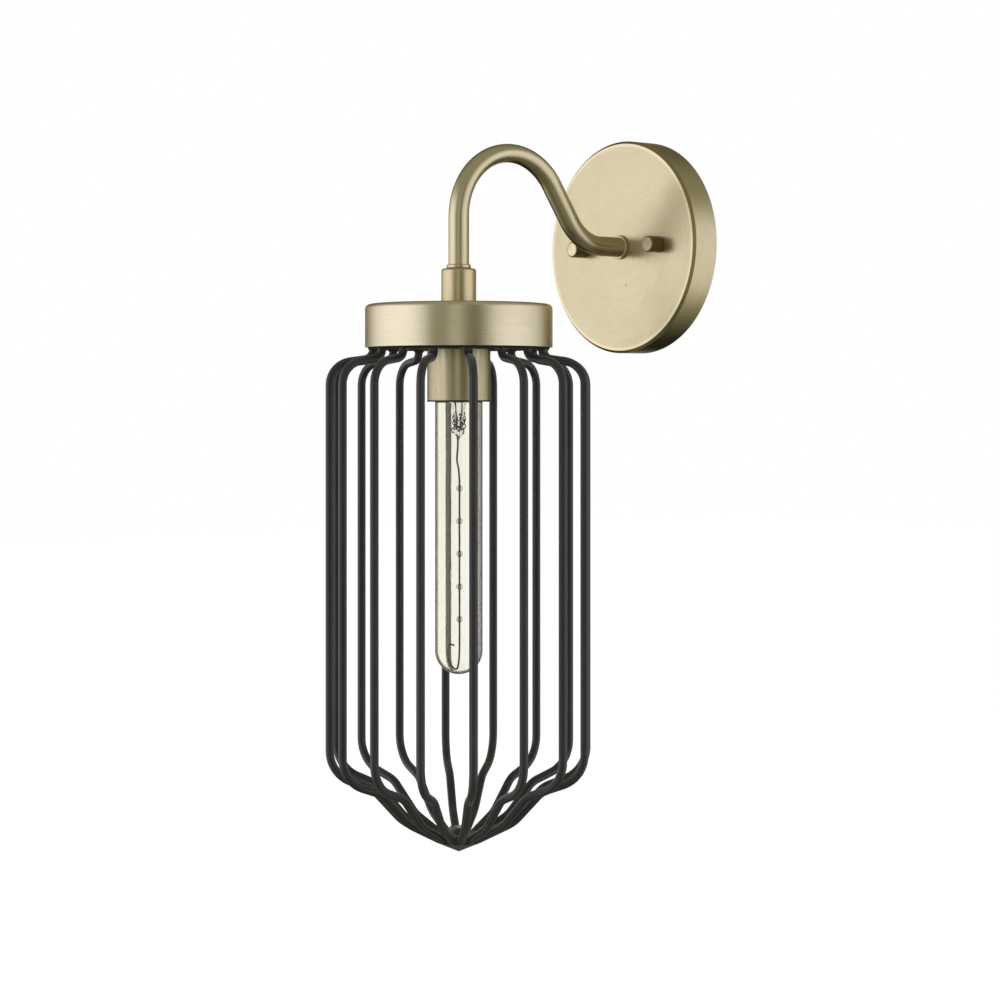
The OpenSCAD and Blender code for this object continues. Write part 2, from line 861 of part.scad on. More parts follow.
// Routes of the leads, in real places; each leaves the lampholder, runs up through the neck,
// round the arm and out of the tail into the hollow of the wall plate
lead_side = 1.5;
arch_step = 12;
low_step = 14;
function arm_point(p, x) = [x, -axis_out + p[0], p[1]];
arch_turn = 90 + arm_slope;
arch_steps = ceil(arch_turn / arch_step);
low_steps = ceil(arm_slope / low_step);
function arm_points(x) = concat(
    [arm_point([0, cap_top], x), arm_point([0, leg_bottom_z], x)],
    [for (i = [0 : arch_steps])
        let (a = 180 - arch_turn * i / arch_steps)
        arm_point(arch_centre + arch_r * [cos(a), sin(a)], x)],
    [for (i = [0 : low_steps])
        let (a = 270 - arm_slope + arm_slope * i / low_steps)
        arm_point(low_centre + low_r * [cos(a), sin(a)], x)],
    [arm_point([plate_face_out - 1, 0], x), [x, tail_end_y - 3, 0]]
);
function holder_points(x, hole_x) = [
    [hole_x, -axis_out, holder_ceiling + 0.1],
    [hole_x, -axis_out, holder_top],
    [hole_x * 0.97 + x * 0.03, -axis_out, holder_top + 1.8],
    [hole_x * 0.78 + x * 0.22, -axis_out, holder_top + 3.6],
    [hole_x * 0.3 + x * 0.7, -axis_out, holder_top + 5.2],
    [hole_x * 0.04 + x * 0.96, -axis_out, holder_top + 7.4],
    [x, -axis_out, cap_nipple_end + 2]
];
function pan_points(s) = [
    [2 * s, -8, -1],
    [4.5 * s, -5.8, -5],
    [9 * s, -5.6, -11],
    [15 * s, -6.5, -18],
    [21 * s, -8, -24],
    [26 * s, -9, -31]
];
function strip_end(r, l) = let (n = len(r)) r[n - 1] + l * unit(r[n - 1] - r[n - 2]);

bare_l = 9;
bare_d = 1.1;

module lead(route, jacket) {
    union() {
        color(jacket) route_tube(route, lead_d);
        color(copper) route_tube([route[len(route) - 1], strip_end(route, bare_l)], bare_d);
    }
}

module live_lead() {
    lead(concat(holder_points(-lead_side, live_x), arm_points(-lead_side), pan_points(-1)), black_jacket);
}

module neutral_lead() {
    lead(concat(holder_points(lead_side, neutral_x), arm_points(lead_side), pan_points(1)), white_jacket);
}

ground_tag_r = 13;
ground_lead_y = tail_nut_y + lead_d / 2 - 0.1;
ground_pan = [
    [0, ground_lead_y, ground_tag_r - 2],
    [0, ground_lead_y, ground_tag_r + 4],
    [0.6, ground_lead_y + 0.7, ground_tag_r + 8],
    [3, -12, 27],
    [8, -9.5, 33],
    [15, -8, 37],
    [22, -8.5, 40]
];

module ground_lead() {
    tag_w = 6;
    union() {
        color(bright_brass)
            translate([0, tail_nut_y, 0])
                out_of_wall()
                    difference() {
                        union() {
                            cylinder(h = terminal_t, d = lock_washer_d);
                            translate([-tag_w / 2, 0, 0]) cube([tag_w, ground_tag_r + 3, terminal_t]);
                        }
                        translate([0, 0, -cut])
                            cylinder(h = terminal_t + 2 * cut, d = nipple_d + 2 * thread_gap);
                    }
        lead(ground_pan, green_jacket);
    }
}

// Cage
module cage_plate() {
    color(black_coat)
        on_axis()
            translate([0, 0, cage_plate_bottom])
                ring(cage_plate_d, cup_d + 2 * slide_gap, cage_plate_t);
}

module cage_posts() {
    head_seat = keyhole_plate_bottom + keyhole_plate_t + seat_gap;
    color(zinc)
        on_axis()
            for (a = post_angles)
                rotate([0, 0, a])
                    translate([post_r, 0, 0]) {
                        translate([0, 0, cage_plate_top])
                            cylinder(h = head_seat - cage_plate_top, d = post_d);
                        translate([0, 0, head_seat])
                            cylinder(h = post_head_t, d = post_head_d);
                    }
}

module cage_wire(i) {
    color(black_coat)
        on_axis()
            rotate([0, 0, -90 + wire_turn + (i - 1) * 360 / wire_count])
                rotate([90, 0, 0])
                    plane_rod(wire_path, wire_bends, wire_d, $fn = 32);
}

module cage_hub() {
    color(black_coat)
        on_axis()
            difference() {
                rotate_extrude()
                    polygon([
                        [0, hub_bottom],
                        [hub_base_r, hub_bottom],
                        [hub_top_r, hub_top],
                        [0, hub_top]
                    ]);
                translate([0, 0, hub_bottom - cut])
                    cylinder(h = hub_top - hub_bottom + 2 * cut, d = tip_stud_d + 2 * thread_gap);
            }
}

module cage_tip() {
    color(black_coat)
        on_axis()
            union() {
                translate([0, 0, tip_z])
                    cylinder(h = tip_h, r1 = tip_end_r, r2 = hub_base_r);
                translate([0, 0, hub_bottom - tip_lap])
                    cylinder(h = hub_top - hub_bottom + tip_nut_h + tip_lap, d = tip_stud_d);
            }
}

module cage_tip_nut() {
    color(zinc)
        on_axis()
            translate([0, 0, hub_top])
                hex_nut(tip_nut_af, tip_stud_d + 2 * thread_gap, tip_nut_h);
}

// Bulb
module glass_outline(r, neck_r, top) {
    shoulder_low = shell_bottom - bulb_shoulder_h;
    translate([0, bulb_bottom + bulb_r]) {
        polygon([
            [0, 0],
            [r, 0],
            [r, shoulder_low - bulb_bottom - bulb_r],
            [neck_r, shell_bottom - bulb_bottom - bulb_r],
            [neck_r, top - bulb_bottom - bulb_r],
            [0, top - bulb_bottom - bulb_r]
        ]);
        intersection() {
            circle(r = r);
            translate([0, -r]) square([r, r]);
        }
    }
}

glass_neck_l = 6;

module bulb_glass() {
    neck_top = shell_bottom + glass_neck_l;
    color(clear_glass)
        on_axis()
            rotate_extrude()
                difference() {
                    glass_outline(bulb_r, bulb_neck_r, neck_top);
                    glass_outline(bulb_r - glass_wall, bulb_neck_r - glass_wall, neck_top + cut);
                }
}

module bulb_shell() {
    thread_depth = 0.75;
    crest = base_pitch / 2;
    top_rim_t = 0.5;
    plain_top = 2;
    ridges = floor((base_shell_l - 2 * plain_top) / base_pitch);
    core_r = base_d / 2 - thread_depth;
    inner_r = bulb_neck_r + thread_gap;
    color(bright_brass)
        on_axis()
            rotate_extrude()
                union() {
                    translate([inner_r, shell_bottom])
                        square([core_r - inner_r, base_shell_l]);
                    for (i = [0 : ridges - 1])
                        translate([inner_r, shell_top - plain_top - (i + 0.5) * base_pitch - crest / 2])
                            square([base_d / 2 - inner_r, crest]);
                    translate([insulator_r - 1, shell_top - top_rim_t])
                        square([core_r - insulator_r + 1, top_rim_t]);
                }
}

insulator_r = contact_r + 5;
eyelet_d = 1.4;

module bulb_insulator() {
    color(black_glass)
        on_axis()
            translate([0, 0, shell_top])
                difference() {
                    cylinder(h = insulator_h, r1 = insulator_r, r2 = contact_r);
                    translate([0, 0, -cut]) cylinder(h = insulator_h + 2 * cut, d = eyelet_d);
                }
}

module bulb_contact() {
    color(solder)
        on_axis()
            translate([0, 0, shell_top + insulator_h])
                cylinder(h = contact_h, r1 = contact_r, r2 = contact_r - 1.2);
}

stem_rim_top = shell_bottom + 5;
stem_rim_t = 1;
stem_flare_low = shell_bottom - 1;
stem_neck_z = shell_bottom - 6;
stem_tube_r = 3;
button_r = 3.4;
button_rise = 34;
button_z = first_bead_z + button_rise;

module bulb_stem() {
    rim_r = bulb_neck_r - glass_wall - thread_gap;
    color(clear_glass)
        on_axis()
            union() {
                rotate_extrude()
                    polygon([
                        [0, stem_rim_top],
                        [rim_r, stem_rim_top],
                        [rim_r, stem_rim_top - stem_rim_t],
                        [stem_tube_r + 2, stem_flare_low],
                        [stem_tube_r, stem_neck_z],
                        [stem_tube_r, button_z],
                        [0, button_z]
                    ]);
                translate([0, 0, button_z]) sphere(r = button_r);
            }
}

module at_wire_side() {
    on_axis()
        rotate([0, 0, wire_side_angle])
            children();
}

last_bead_z = first_bead_z - (bead_count - 1) * bead_spacing;
rod_end_z = bulb_bottom + glass_wall + 1.5;
rod_top_x = -0.6;
rod_top_z = button_z - sqrt(pow(button_r, 2) - pow(rod_top_x + rod_d / 2, 2)) - thread_gap;
kink_high = 17;
kink_low = 12;
kink_end = 6;
hook_rise = 15;

module bulb_centre_wire() {
    color(dark_wire)
        at_wire_side()
            route_tube([
                [rod_top_x, 0, rod_top_z],
                [rod_top_x, 0, rod_top_z - 7],
                [rod_top_x - 0.5, 0, first_bead_z + kink_high],
                [rod_x - 0.6, 0, first_bead_z + kink_low],
                [rod_x - 0.1, 0, first_bead_z + kink_end],
                [rod_x, 0, first_bead_z],
                [rod_x, 0, last_bead_z],
                [rod_x, 0, last_bead_z - hook_rise - 3],
                [rod_x - 0.8, 0, rod_end_z + 2.6],
                [rod_x - 2.6, 0, rod_end_z + 0.5],
                [rod_x - 5, 0, rod_end_z + 3.2],
                [rod_x - 6.4, 0, rod_end_z + 8],
                [rod_x - 6.5, 0, last_bead_z - hook_rise - 1.4],
                [rod_x - 5.2, 0, last_bead_z - hook_rise],
                [rod_x - 3, 0, last_bead_z - hook_rise - 0.6]
            ], rod_d, [0, 1, 0]);
}

module bulb_beads() {
    color(clear_glass)
        at_wire_side()
            for (i = [0 : bead_count - 1])
                translate([rod_x, 0, first_bead_z - i * bead_spacing])
                    difference() {
                        sphere(d = bead_d, $fn = 32);
                        cylinder(h = 2 * bead_d, d = rod_d + 2 * thread_gap, center = true, $fn = 16);
                    }
}

module bulb_wires() {
    fan_count = 8;
    fan_r = 5.6;
    fan_d = 0.4;
    fan_root_r = button_r + fan_d / 2 + thread_gap;
    fan_row_rise = 7;
    fan_row_draw = button_r - stem_tube_r;
    lead_in_d = 0.5;
    lead_in_low = stem_rim_top + thread_gap;
    color(dark_wire)
        at_wire_side()
            union() {
                route_tube([
                    [1.2, 0, lead_in_low],
                    [1, 0, stem_rim_top + 5],
                    [0, 0, shell_top - 4],
                    [0, 0, shell_top + insulator_h - thread_gap]
                ], lead_in_d, [0, 1, 0], 6);
                route_tube([
                    [-1.2, 0, lead_in_low + 0.1],
                    [-3, 0, stem_rim_top + 4],
                    [-bulb_neck_r, 0, stem_rim_top + 7]
                ], lead_in_d, [0, 1, 0], 6);
                for (i = [0 : fan_count - 1])
                    rotate([0, 0, i * 360 / fan_count])
                        route_tube([
                            [fan_root_r, 0, button_z + 0.4],
                            [fan_r - 0.8, 0, button_z + 3 + 2 * (i % 2)],
                            [fan_r, 0, button_z + 0.5 - 2 * (i % 3)]
                        ], fan_d, [0, 1, 0], 6);
                for (i = [0 : fan_count - 1])
                    rotate([0, 0, (i + 0.5) * 360 / fan_count])
                        translate([-fan_row_draw, 0, button_z + fan_row_rise])
                            route_tube([
                                [fan_root_r, 0, 0],
                                [fan_r - 1, 0, 2],
                                [fan_r - 0.6, 0, -0.4]
                            ], fan_d, [0, 1, 0], 6);
            }
}

wall_plate();
mounting_strap();
plate_studs();
stud_lock_nuts();
left_cap_nut();
right_cap_nut();
ground_screw();
arm_tube();
arm_collar();
arm_tail_nipple();
tail_lock_washer();
tail_nut();
arm_ferrule();
arm_leg_nipple();
neck_coupling();
cap();
cap_nipple();
cap_lock_washer();
cap_lock_nut();
keyhole_plate();
socket_cup();
lampholder_bracket();
lampholder_nut();
lampholder_body();
lampholder_shell();
centre_contact();
live_lead();
neutral_lead();
ground_lead();
cage_plate();
cage_posts();
cage_hub();
cage_tip();
cage_tip_nut();
cage_wire(1);  // cage_wire_01
cage_wire(2);  // cage_wire_02
cage_wire(3);  // cage_wire_03
cage_wire(4);  // cage_wire_04
cage_wire(5);  // cage_wire_05
cage_wire(6);  // cage_wire_06
cage_wire(7);  // cage_wire_07
cage_wire(8);  // cage_wire_08
cage_wire(9);  // cage_wire_09
cage_wire(10);  // cage_wire_10
cage_wire(11);  // cage_wire_11
cage_wire(12);  // cage_wire_12
cage_wire(13);  // cage_wire_13
cage_wire(14);  // cage_wire_14
cage_wire(15);  // cage_wire_15
cage_wire(16);  // cage_wire_16
bulb_glass();
bulb_shell();
bulb_insulator();
bulb_contact();
bulb_stem();
bulb_centre_wire();
bulb_beads();
bulb_wires();
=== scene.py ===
"""Looks for a cage wall light: aged brass, a black wire cage and a long tubular bulb."""

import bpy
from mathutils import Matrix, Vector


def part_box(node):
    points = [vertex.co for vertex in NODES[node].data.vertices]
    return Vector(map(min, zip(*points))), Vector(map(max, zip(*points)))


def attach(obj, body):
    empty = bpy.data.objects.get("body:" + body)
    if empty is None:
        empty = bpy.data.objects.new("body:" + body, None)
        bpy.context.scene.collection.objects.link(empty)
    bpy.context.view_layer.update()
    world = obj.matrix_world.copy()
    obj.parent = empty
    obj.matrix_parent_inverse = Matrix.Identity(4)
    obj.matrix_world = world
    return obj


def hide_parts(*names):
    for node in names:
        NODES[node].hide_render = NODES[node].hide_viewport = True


bl_info = {
    "name": "Cage Wall Light",
    "version": (1, 0, 0),
    "blender": (4, 5, 0),
    "location": "View3D > Sidebar > Cage Light",
    "description": "Finishes a cage wall light and sets up its studio",
    "category": "Object",
}

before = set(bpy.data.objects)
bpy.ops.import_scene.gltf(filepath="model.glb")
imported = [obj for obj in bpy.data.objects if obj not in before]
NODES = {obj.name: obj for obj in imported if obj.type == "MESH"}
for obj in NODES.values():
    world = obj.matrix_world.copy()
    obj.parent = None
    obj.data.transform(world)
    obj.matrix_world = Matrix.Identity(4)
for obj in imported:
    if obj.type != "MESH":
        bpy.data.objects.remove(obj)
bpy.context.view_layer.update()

import math

import bmesh
import bpy
from bpy.props import FloatProperty, FloatVectorProperty, IntProperty, PointerProperty
from mathutils import Euler, Matrix, Vector

# The glass hangs on the cage's axis, which stands this far out of the wall
GLASS_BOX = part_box("bulb_glass")
AXIS_Y = (GLASS_BOX[0][1] + GLASS_BOX[1][1]) / 2
AXIS = Vector((0, AXIS_Y, 0))
UP = Vector((0, 0, 1))
MM = 0.001
CAGE_WIRES = [f"cage_wire_{i:02d}" for i in range(1, 17)]

# What turned parts are brushed round: a point on the axis, its turn to upright and its letter
UPRIGHT = (AXIS, (0, 0, 0), "Z")
OUT_OF_WALL = ((0, 0, 0), (math.pi / 2, 0, 0), "Y")


def node_top(name):
    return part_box(name)[1][2]


def node_bottom(name):
    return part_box(name)[0][2]


def node_radius(name):
    low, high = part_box(name)
    return (high[0] - low[0]) / 2


# Sizes and colours that a user would change


def length(name, description, value, high=2.0):
    return FloatProperty(name=name, description=description, default=value, min=0.0, max=high, unit="LENGTH")


def angle(name, description, degrees):
    return FloatProperty(name=name, description=description, default=math.radians(degrees), subtype="ANGLE")


def colour(name, description, rgb):
    return FloatVectorProperty(
        name=name, description=description, default=rgb, size=3, min=0.0, max=1.0, subtype="COLOR"
    )


def level(name, description, value, high=10.0):
    return FloatProperty(name=name, description=description, default=value, min=0.0, max=high)


class PlateSize(bpy.types.PropertyGroup):
    """Sizes on the wall plate"""

    bevel: length("Bevel", "Width of the bevel round the plate's face", 0.0015)
    fleck_right: length("Fleck across", "How far right of the plate's middle its dark fleck is", 0.0053)
    fleck_down: length("Fleck down", "How far below the plate's middle its dark fleck is", 0.0239)


class ArmSize(bpy.types.PropertyGroup):
    """Sizes of the bent arm"""

    tube_d: length("Tube", "Outside diameter of the arm's tube", 0.0123)
    tube_wall: length("Wall", "Wall of the arm's tube", 0.001)
    arch_rise: length("Arch rise", "Height of the arch's centre line above the plate's middle", 0.0533)
    arch_r: length("Arch radius", "Bend radius of the arch", 0.040)
    low_r: length("Low radius", "Bend radius of the lower bend", 0.032)
    slope: angle("Slope", "Steepness of the run between the two bends", 56)
    arch_flat: level("Arch flattening", "Share by which bending flattens the tube in the arch", 0.085, 0.2)
    low_flat: level("Low flattening", "Share by which bending flattens the tube in the low bend", 0.05, 0.2)
    widening: level("Widening", "Share of the flattening that comes back as width", 0.55, 1.0)


class CageSize(bpy.types.PropertyGroup):
    """Sizes of the cage's welds"""

    wire_d: length("Wire", "Diameter of the cage wire", 0.005)
    wire_circle: length("Wire circle", "Radius of the circle of wires under the plate", 0.0509)
    first_turn: angle("First wire", "Turn of the first wire from the front", 12.6)
    hub_r: length("Hub", "Radius of the hub where the wires meet it", 0.0136)
    weld: length("Weld", "Width of the weld beads", 0.0011)


class BulbSize(bpy.types.PropertyGroup):
    """Sizes of the bulb"""

    glass_wall: length("Glass wall", "Thickness of the bulb's glass", 0.0008)
    thread_pitch: length("Thread pitch", "Rise of the base's thread in one turn", 0.003629)
    thread_depth: length("Thread depth", "Depth of the base's thread", 0.0008)
    base_d: length("Base", "Outside diameter of the screw base", 0.0261)
    rod_d: length("Centre wire", "Diameter of the wire that carries the beads", 0.0011)
    hook_d: length("Hooks", "Diameter of the fine hooks at the stem", 0.0006)
    hook_count: IntProperty(
        name="Number of hooks", description="Number of hooks round the stem", default=20, min=3, max=24
    )
    wire_side: angle("Wire side", "Way that the bend of the centre wire faces", 50)
    bead_d: length("Beads", "Diameter of the glass beads", 0.0038)
    bead_out: length("Bead offset", "How far the beads stand off the bulb's middle", 0.0004)


class Finishes(bpy.types.PropertyGroup):
    """Colours of the finishes"""

    brass: colour("Brass", "Rubbed face of the aged brass", (0.80, 0.705, 0.475))
    brass_shade: colour("Brass shade", "Hollows of the brushing in the aged brass", (0.66, 0.565, 0.36))
    bronze: colour("Bronze", "Darkened brass of the cap nuts", (0.36, 0.285, 0.16))
    coat: colour("Black coat", "Powder coat of the cage", (0.020, 0.020, 0.0215))
    zinc: colour("Zinc", "Zinc plating of the hidden steel", (0.62, 0.63, 0.64))
    stamped: colour("Stamped brass", "Bright brass of the screw shells", (0.83, 0.66, 0.36))
    porcelain: colour("Porcelain", "Glaze of the lampholder", (0.83, 0.82, 0.78))
    glass: colour("Glass", "Tint of the bulb's glass", (0.972, 0.969, 0.962))
    ground: colour("Ground green", "Green of the ground screw and lead", (0.03, 0.17, 0.06))


class Studio(bpy.types.PropertyGroup):
    """Camera, lamps, floor and background"""

    distance: length("Distance", "Distance from the cage's axis to the camera", 1.4, high=10)
    azimuth: angle("Azimuth", "Way that the camera looks, round the upright axis", 51.4)
    eye_z: FloatProperty(
        name="Eye height", description="Height of the camera", default=-0.0986, unit="LENGTH"
    )
    lens: level("Lens", "Focal length in millimetres on a 36 mm sensor", 84.6, 300)
    shift_x: FloatProperty(name="Shift across", description="Sideways shift of the camera", default=0.0412)
    shift_y: FloatProperty(name="Shift up", description="Upward shift of the camera", default=-0.0962)
    floor_z: FloatProperty(name="Floor", description="Height of the floor", default=-0.95, unit="LENGTH")
    key: level("Key", "Power of the main lamp in watts", 11.0, 500)
    fill: level("Fill", "Power of the second lamp in watts", 7.0, 500)
    top: level("Top", "Power of the lamp overhead in watts", 6.0, 500)
    ambient: level("Ambient", "Even light from all round", 0.50)
    window: level("Window", "Brightness of the white screens that the metal mirrors", 1.28)
    room: level("Room", "Brightness of the room above them", 0.34)
    ground: level("Ground", "Brightness of the room below them", 0.24)


# What the metal mirrors, by the way round from the camera in degrees: a white backdrop behind the
# light, a white screen on either side and a dim room between
STUDIO_ROUND = (
    (-180, 0.80), (-169, 0.40), (-158, 0.30), (-142, 0.52), (-127, 0.80), (-112, 0.90), (-96, 0.99),
    (-62, 1.03), (-47, 0.79), (-34, 0.27), (-20, 0.20), (-10, 0.34), (-4, 0.57), (2, 0.40), (10, 0.17),
    (24, 0.09), (37, 0.47), (49, 0.76), (75, 0.86), (90, 0.78), (102, 0.68), (116, 0.58), (130, 0.32),
    (150, 0.12), (170, 0.36), (180, 0.80),
)

# The colours of its screens and of its dim parts
WHITE = (1.0, 1.0, 1.0)
WARM_DIM = (1.0, 1.0, 0.60)

# How much of the brass's red, green and blue each part keeps: painted shade that darkens the plate, arm,
# neck and cup, and a painted highlight that pales the cap towards white
PAINTED_TONES = {
    "plate": (0.835, 0.835, 0.85),
    "arm": (0.89, 0.905, 0.95),
    "cap": (0.99, 1.01, 1.17),
    "neck": (0.85, 0.83, 0.80),
    "cup": (0.77, 0.775, 0.78),
}

GROUPS = {
    "cage_light_plate": PlateSize,
    "cage_light_arm": ArmSize,
    "cage_light_cage": CageSize,
    "cage_light_bulb": BulbSize,
    "cage_light_finish": Finishes,
    "cage_light_studio": Studio,
}


# Node trees


class Tree:
    """A node tree, with a short way to add nodes and link them"""

    def __init__(self, tree):
        self.tree = tree

    def put(self, socket, value):
        """Links a socket to another one, or gives it a value"""
        if isinstance(value, bpy.types.NodeSocket):
            self.tree.links.new(value, socket)
        else:
            socket.default_value = value

    def add(self, kind, inputs=None, **settings):
        node = self.tree.nodes.new(kind)
        for name, value in settings.items():
            setattr(node, name, value)
        for name, value in (inputs or {}).items():
            self.put(node.inputs[name], value)
        return node

    def sum(self, operation, a, b=0.5, c=0.5, clamp=False):
        node = self.add("ShaderNodeMath", {0: a, 1: b, 2: c}, operation=operation, use_clamp=clamp)
        return node.outputs[0]

    def vector(self, operation, a, b):
        """A vector from two others"""
        return self.add("ShaderNodeVectorMath", {0: a, 1: b}, operation=operation).outputs[0]

    def measure(self, operation, a, b):
        """A number from two vectors, such as their distance"""
        return self.add("ShaderNodeVectorMath", {0: a, 1: b}, operation=operation).outputs["Value"]

    def split(self, vector):
        """The x, y and z of a vector"""
        return self.add("ShaderNodeSeparateXYZ", {0: vector}).outputs

    def hypotenuse(self, a, b):
        """Length of the long side over two square sides"""
        return self.sum("SQRT", self.sum("MULTIPLY_ADD", a, a, self.sum("MULTIPLY", b, b)))

    def ease(self, value, low, high, to_low=0.0, to_high=1.0):
        """Value eased from low to high onto to_low to to_high"""
        inputs = {"Value": value, "From Min": low, "From Max": high, "To Min": to_low, "To Max": to_high}
        return self.add("ShaderNodeMapRange", inputs, interpolation_type="SMOOTHSTEP").outputs[0]

    def contrast(self, value, amount):
        """Value drawn apart about its middle"""
        spread = self.sum("MULTIPLY", self.sum("SUBTRACT", value, 0.5), amount)
        return self.sum("ADD", spread, 0.5, clamp=True)

    def noise(self, place, scale, detail, roughness=0.5):
        inputs = {"Vector": place, "Scale": scale, "Detail": detail, "Roughness": roughness}
        return self.add("ShaderNodeTexNoise", inputs).outputs[0]

    def blend(self, share, a, b):
        """Colour a where share is 0 and b where it is 1"""
        node = self.add("ShaderNodeMix", data_type="RGBA")
        self.put(node.inputs[0], share)
        for socket, value in ((node.inputs[6], a), (node.inputs[7], b)):
            self.put(socket, value if isinstance(value, bpy.types.NodeSocket) else (*value[:3], 1))
        return node.outputs[2]

    def place(self):
        """A point's place in the piece's own metres"""
        return self.add("ShaderNodeTexCoord").outputs["Object"]

    def normal(self):
        return self.add("ShaderNodeNewGeometry").outputs["Normal"]

    def group(self, name, **inputs):
        """What a shared group puts out"""
        return self.add("ShaderNodeGroup", inputs, node_tree=shared_group(name)).outputs[0]


def open_group(name, output, **inputs):
    """A new group's tree, what it is given and the socket of what it puts out. Every group is given a
    Place, and inputs are the others with their values at first"""
    tree = bpy.data.node_groups.new(name, "ShaderNodeTree")
    for label, value in {"Place": (0, 0, 0), **inputs}.items():
        kind = "NodeSocketVector" if isinstance(value, tuple) else "NodeSocketFloat"
        socket = tree.interface.new_socket(name=label, in_out="INPUT", socket_type=kind)
        socket.default_value = value
    tree.interface.new_socket(name=output, in_out="OUTPUT", socket_type="NodeSocketFloat")
    t = Tree(tree)
    return t, t.add("NodeGroupInput").outputs, t.add("NodeGroupOutput").inputs[0]


def turned_place(t, place, turn):
    """The x, y and z of a place, turned so that the axis of the brushing is upright"""
    inputs = {"Vector": place, "Rotation": turn}
    return t.split(t.add("ShaderNodeVectorRotate", inputs, rotation_type="EULER_XYZ").outputs[0])


def make_turned_lines():
    """Fine lines that run round an axis, as on a lathe-brushed face or side"""
    t, given, result = open_group(
        "Turned lines", "Lines", Centre=(0, 0, 0), Turn=(0, 0, 0), Lines=3000, Breaks=4, Contrast=2
    )
    x, y, z = turned_place(t, t.vector("SUBTRACT", given["Place"], given["Centre"]), given["Turn"])
    r = t.hypotenuse(x, y)
    cos = t.sum("MULTIPLY", t.sum("DIVIDE", x, r), given["Breaks"])
    sin = t.sum("MULTIPLY", t.sum("DIVIDE", y, r), given["Breaks"])
    across = t.sum("MULTIPLY", t.sum("ADD", r, z), given["Lines"])
    at = t.add("ShaderNodeCombineXYZ", {0: cos, 1: sin, 2: across}).outputs[0]
    t.put(result, t.contrast(t.noise(at, 1.0, 5.0, 0.7), given["Contrast"]))
    return t.tree


def make_grain():
    """Noise that can be drawn out along any of its axes"""
    t, given, result = open_group("Grain", "Grain", Stretch=(1, 1, 1), Scale=1000, Contrast=2)
    at = t.vector("MULTIPLY", given["Place"], given["Stretch"])
    t.put(result, t.contrast(t.noise(at, given["Scale"], 5.0, 0.65), given["Contrast"]))
    return t.tree


def make_edge_wear():
    """A mask that is 1 along sharp edges and breaks up as rubbing does"""
    t, given, result = open_group("Edge wear", "Wear", Width=0.0006, Amount=1)
    rounded = t.add("ShaderNodeBevel", {"Radius": given["Width"]}, samples=4).outputs[0]
    edge = t.ease(t.measure("DOT_PRODUCT", rounded, t.normal()), 0.995, 0.90)
    broken = t.ease(t.noise(given["Place"], 180.0, 3.0), 0.30, 0.60)
    t.put(result, t.sum("MULTIPLY", t.sum("MULTIPLY", edge, broken), given["Amount"], clamp=True))
    return t.tree


def make_edge_ring():
    """A mask that is 1 on a circle round an axis and fades out over a width"""
    t, given, result = open_group("Edge ring", "Ring", Turn=(0, 0, 0), Radius=0.05, Height=0, Width=0.001)
    x, y, z = turned_place(t, given["Place"], given["Turn"])
    out = t.sum("SUBTRACT", t.hypotenuse(x, y), given["Radius"])
    up = t.sum("SUBTRACT", z, given["Height"])
    share = t.sum("DIVIDE", t.hypotenuse(out, up), given["Width"])
    t.put(result, t.ease(share, 1.0, 0.6))
    return t.tree


def make_smudges():
    """Broad soft patches, as handling and lacquer leave"""
    t, given, result = open_group("Smudges", "Smudge", Scale=40)
    t.put(result, t.ease(t.noise(given["Place"], given["Scale"], 2.0), 0.32, 0.68))
    return t.tree


def make_dust():
    """A thin film on what faces up"""
    t, given, result = open_group("Dust", "Dust", Amount=0.3)
    facing_up = t.ease(t.split(t.normal())[2], 0.35, 1.0)
    film = t.sum("MULTIPLY", facing_up, t.ease(t.noise(given["Place"], 260.0, 4.0), 0.35, 0.75))
    t.put(result, t.sum("MULTIPLY", film, given["Amount"], clamp=True))
    return t.tree


GROUP_MAKERS = {
    "Turned lines": make_turned_lines,
    "Grain": make_grain,
    "Edge wear": make_edge_wear,
    "Edge ring": make_edge_ring,
    "Smudges": make_smudges,
    "Dust": make_dust,
}


def shared_group(name):
    return bpy.data.node_groups.get(name) or GROUP_MAKERS[name]()


# Finishes


def start_finish(name):
    """A new material's tree, its Principled shader and the piece's place"""
    material = bpy.data.materials.new(name)
    material.use_nodes = True
    t = Tree(material.node_tree)
    shader = material.node_tree.nodes["Principled BSDF"]
    return material, t, shader, t.place()


def join(t, shader, **links):
    """Links or sets the shader's sockets, named with _ for each space"""
    for name, value in links.items():
        t.put(shader.inputs[name.replace("_", " ")], value)


def bump(t, height, depth, strength=1.0):
    return t.add("ShaderNodeBump", {"Height": height, "Distance": depth, "Strength": strength}).outputs[0]


def finish_colours():
    return bpy.context.scene.cage_light_finish


def shade(tint, by):
    """A colour times a number, or times another colour"""
    factors = by if isinstance(by, tuple) else (by, by, by)
    return tuple(min(1.0, part * factor) for part, factor in zip(tint, factors))


def brushed(t, shader, place, brushing, axis, lines):
    """The fine and the broad lines that brushing leaves"""
    if brushing == "turned":
        centre, turn, letter = axis
        tangent = t.add("ShaderNodeTangent", direction_type="RADIAL", axis=letter).outputs[0]
        join(t, shader, Tangent=tangent, Anisotropic=0.5, Anisotropic_Rotation=0.25)
        about = {"Place": place, "Centre": centre, "Turn": turn}
        fine = t.group("Turned lines", **about, Lines=lines, Breaks=5.0, Contrast=2.4)
        return fine, t.group("Turned lines", **about, Lines=420.0, Breaks=1.6, Contrast=1.6)
    if brushing == "upright":
        fine = t.group("Grain", Place=place, Stretch=(1, 1, 0.05), Scale=3600.0, Contrast=2.2)
        return fine, t.group("Grain", Place=place, Stretch=(1, 1, 0.06), Scale=420.0, Contrast=2.6)
    along = t.add("ShaderNodeUVMap", uv_map="Along").outputs[0]
    fine = t.group("Grain", Place=along, Stretch=(0.06, 1, 1), Scale=3400.0, Contrast=2.0)
    return fine, t.group("Grain", Place=along, Stretch=(0.15, 1, 1), Scale=380.0, Contrast=1.4)


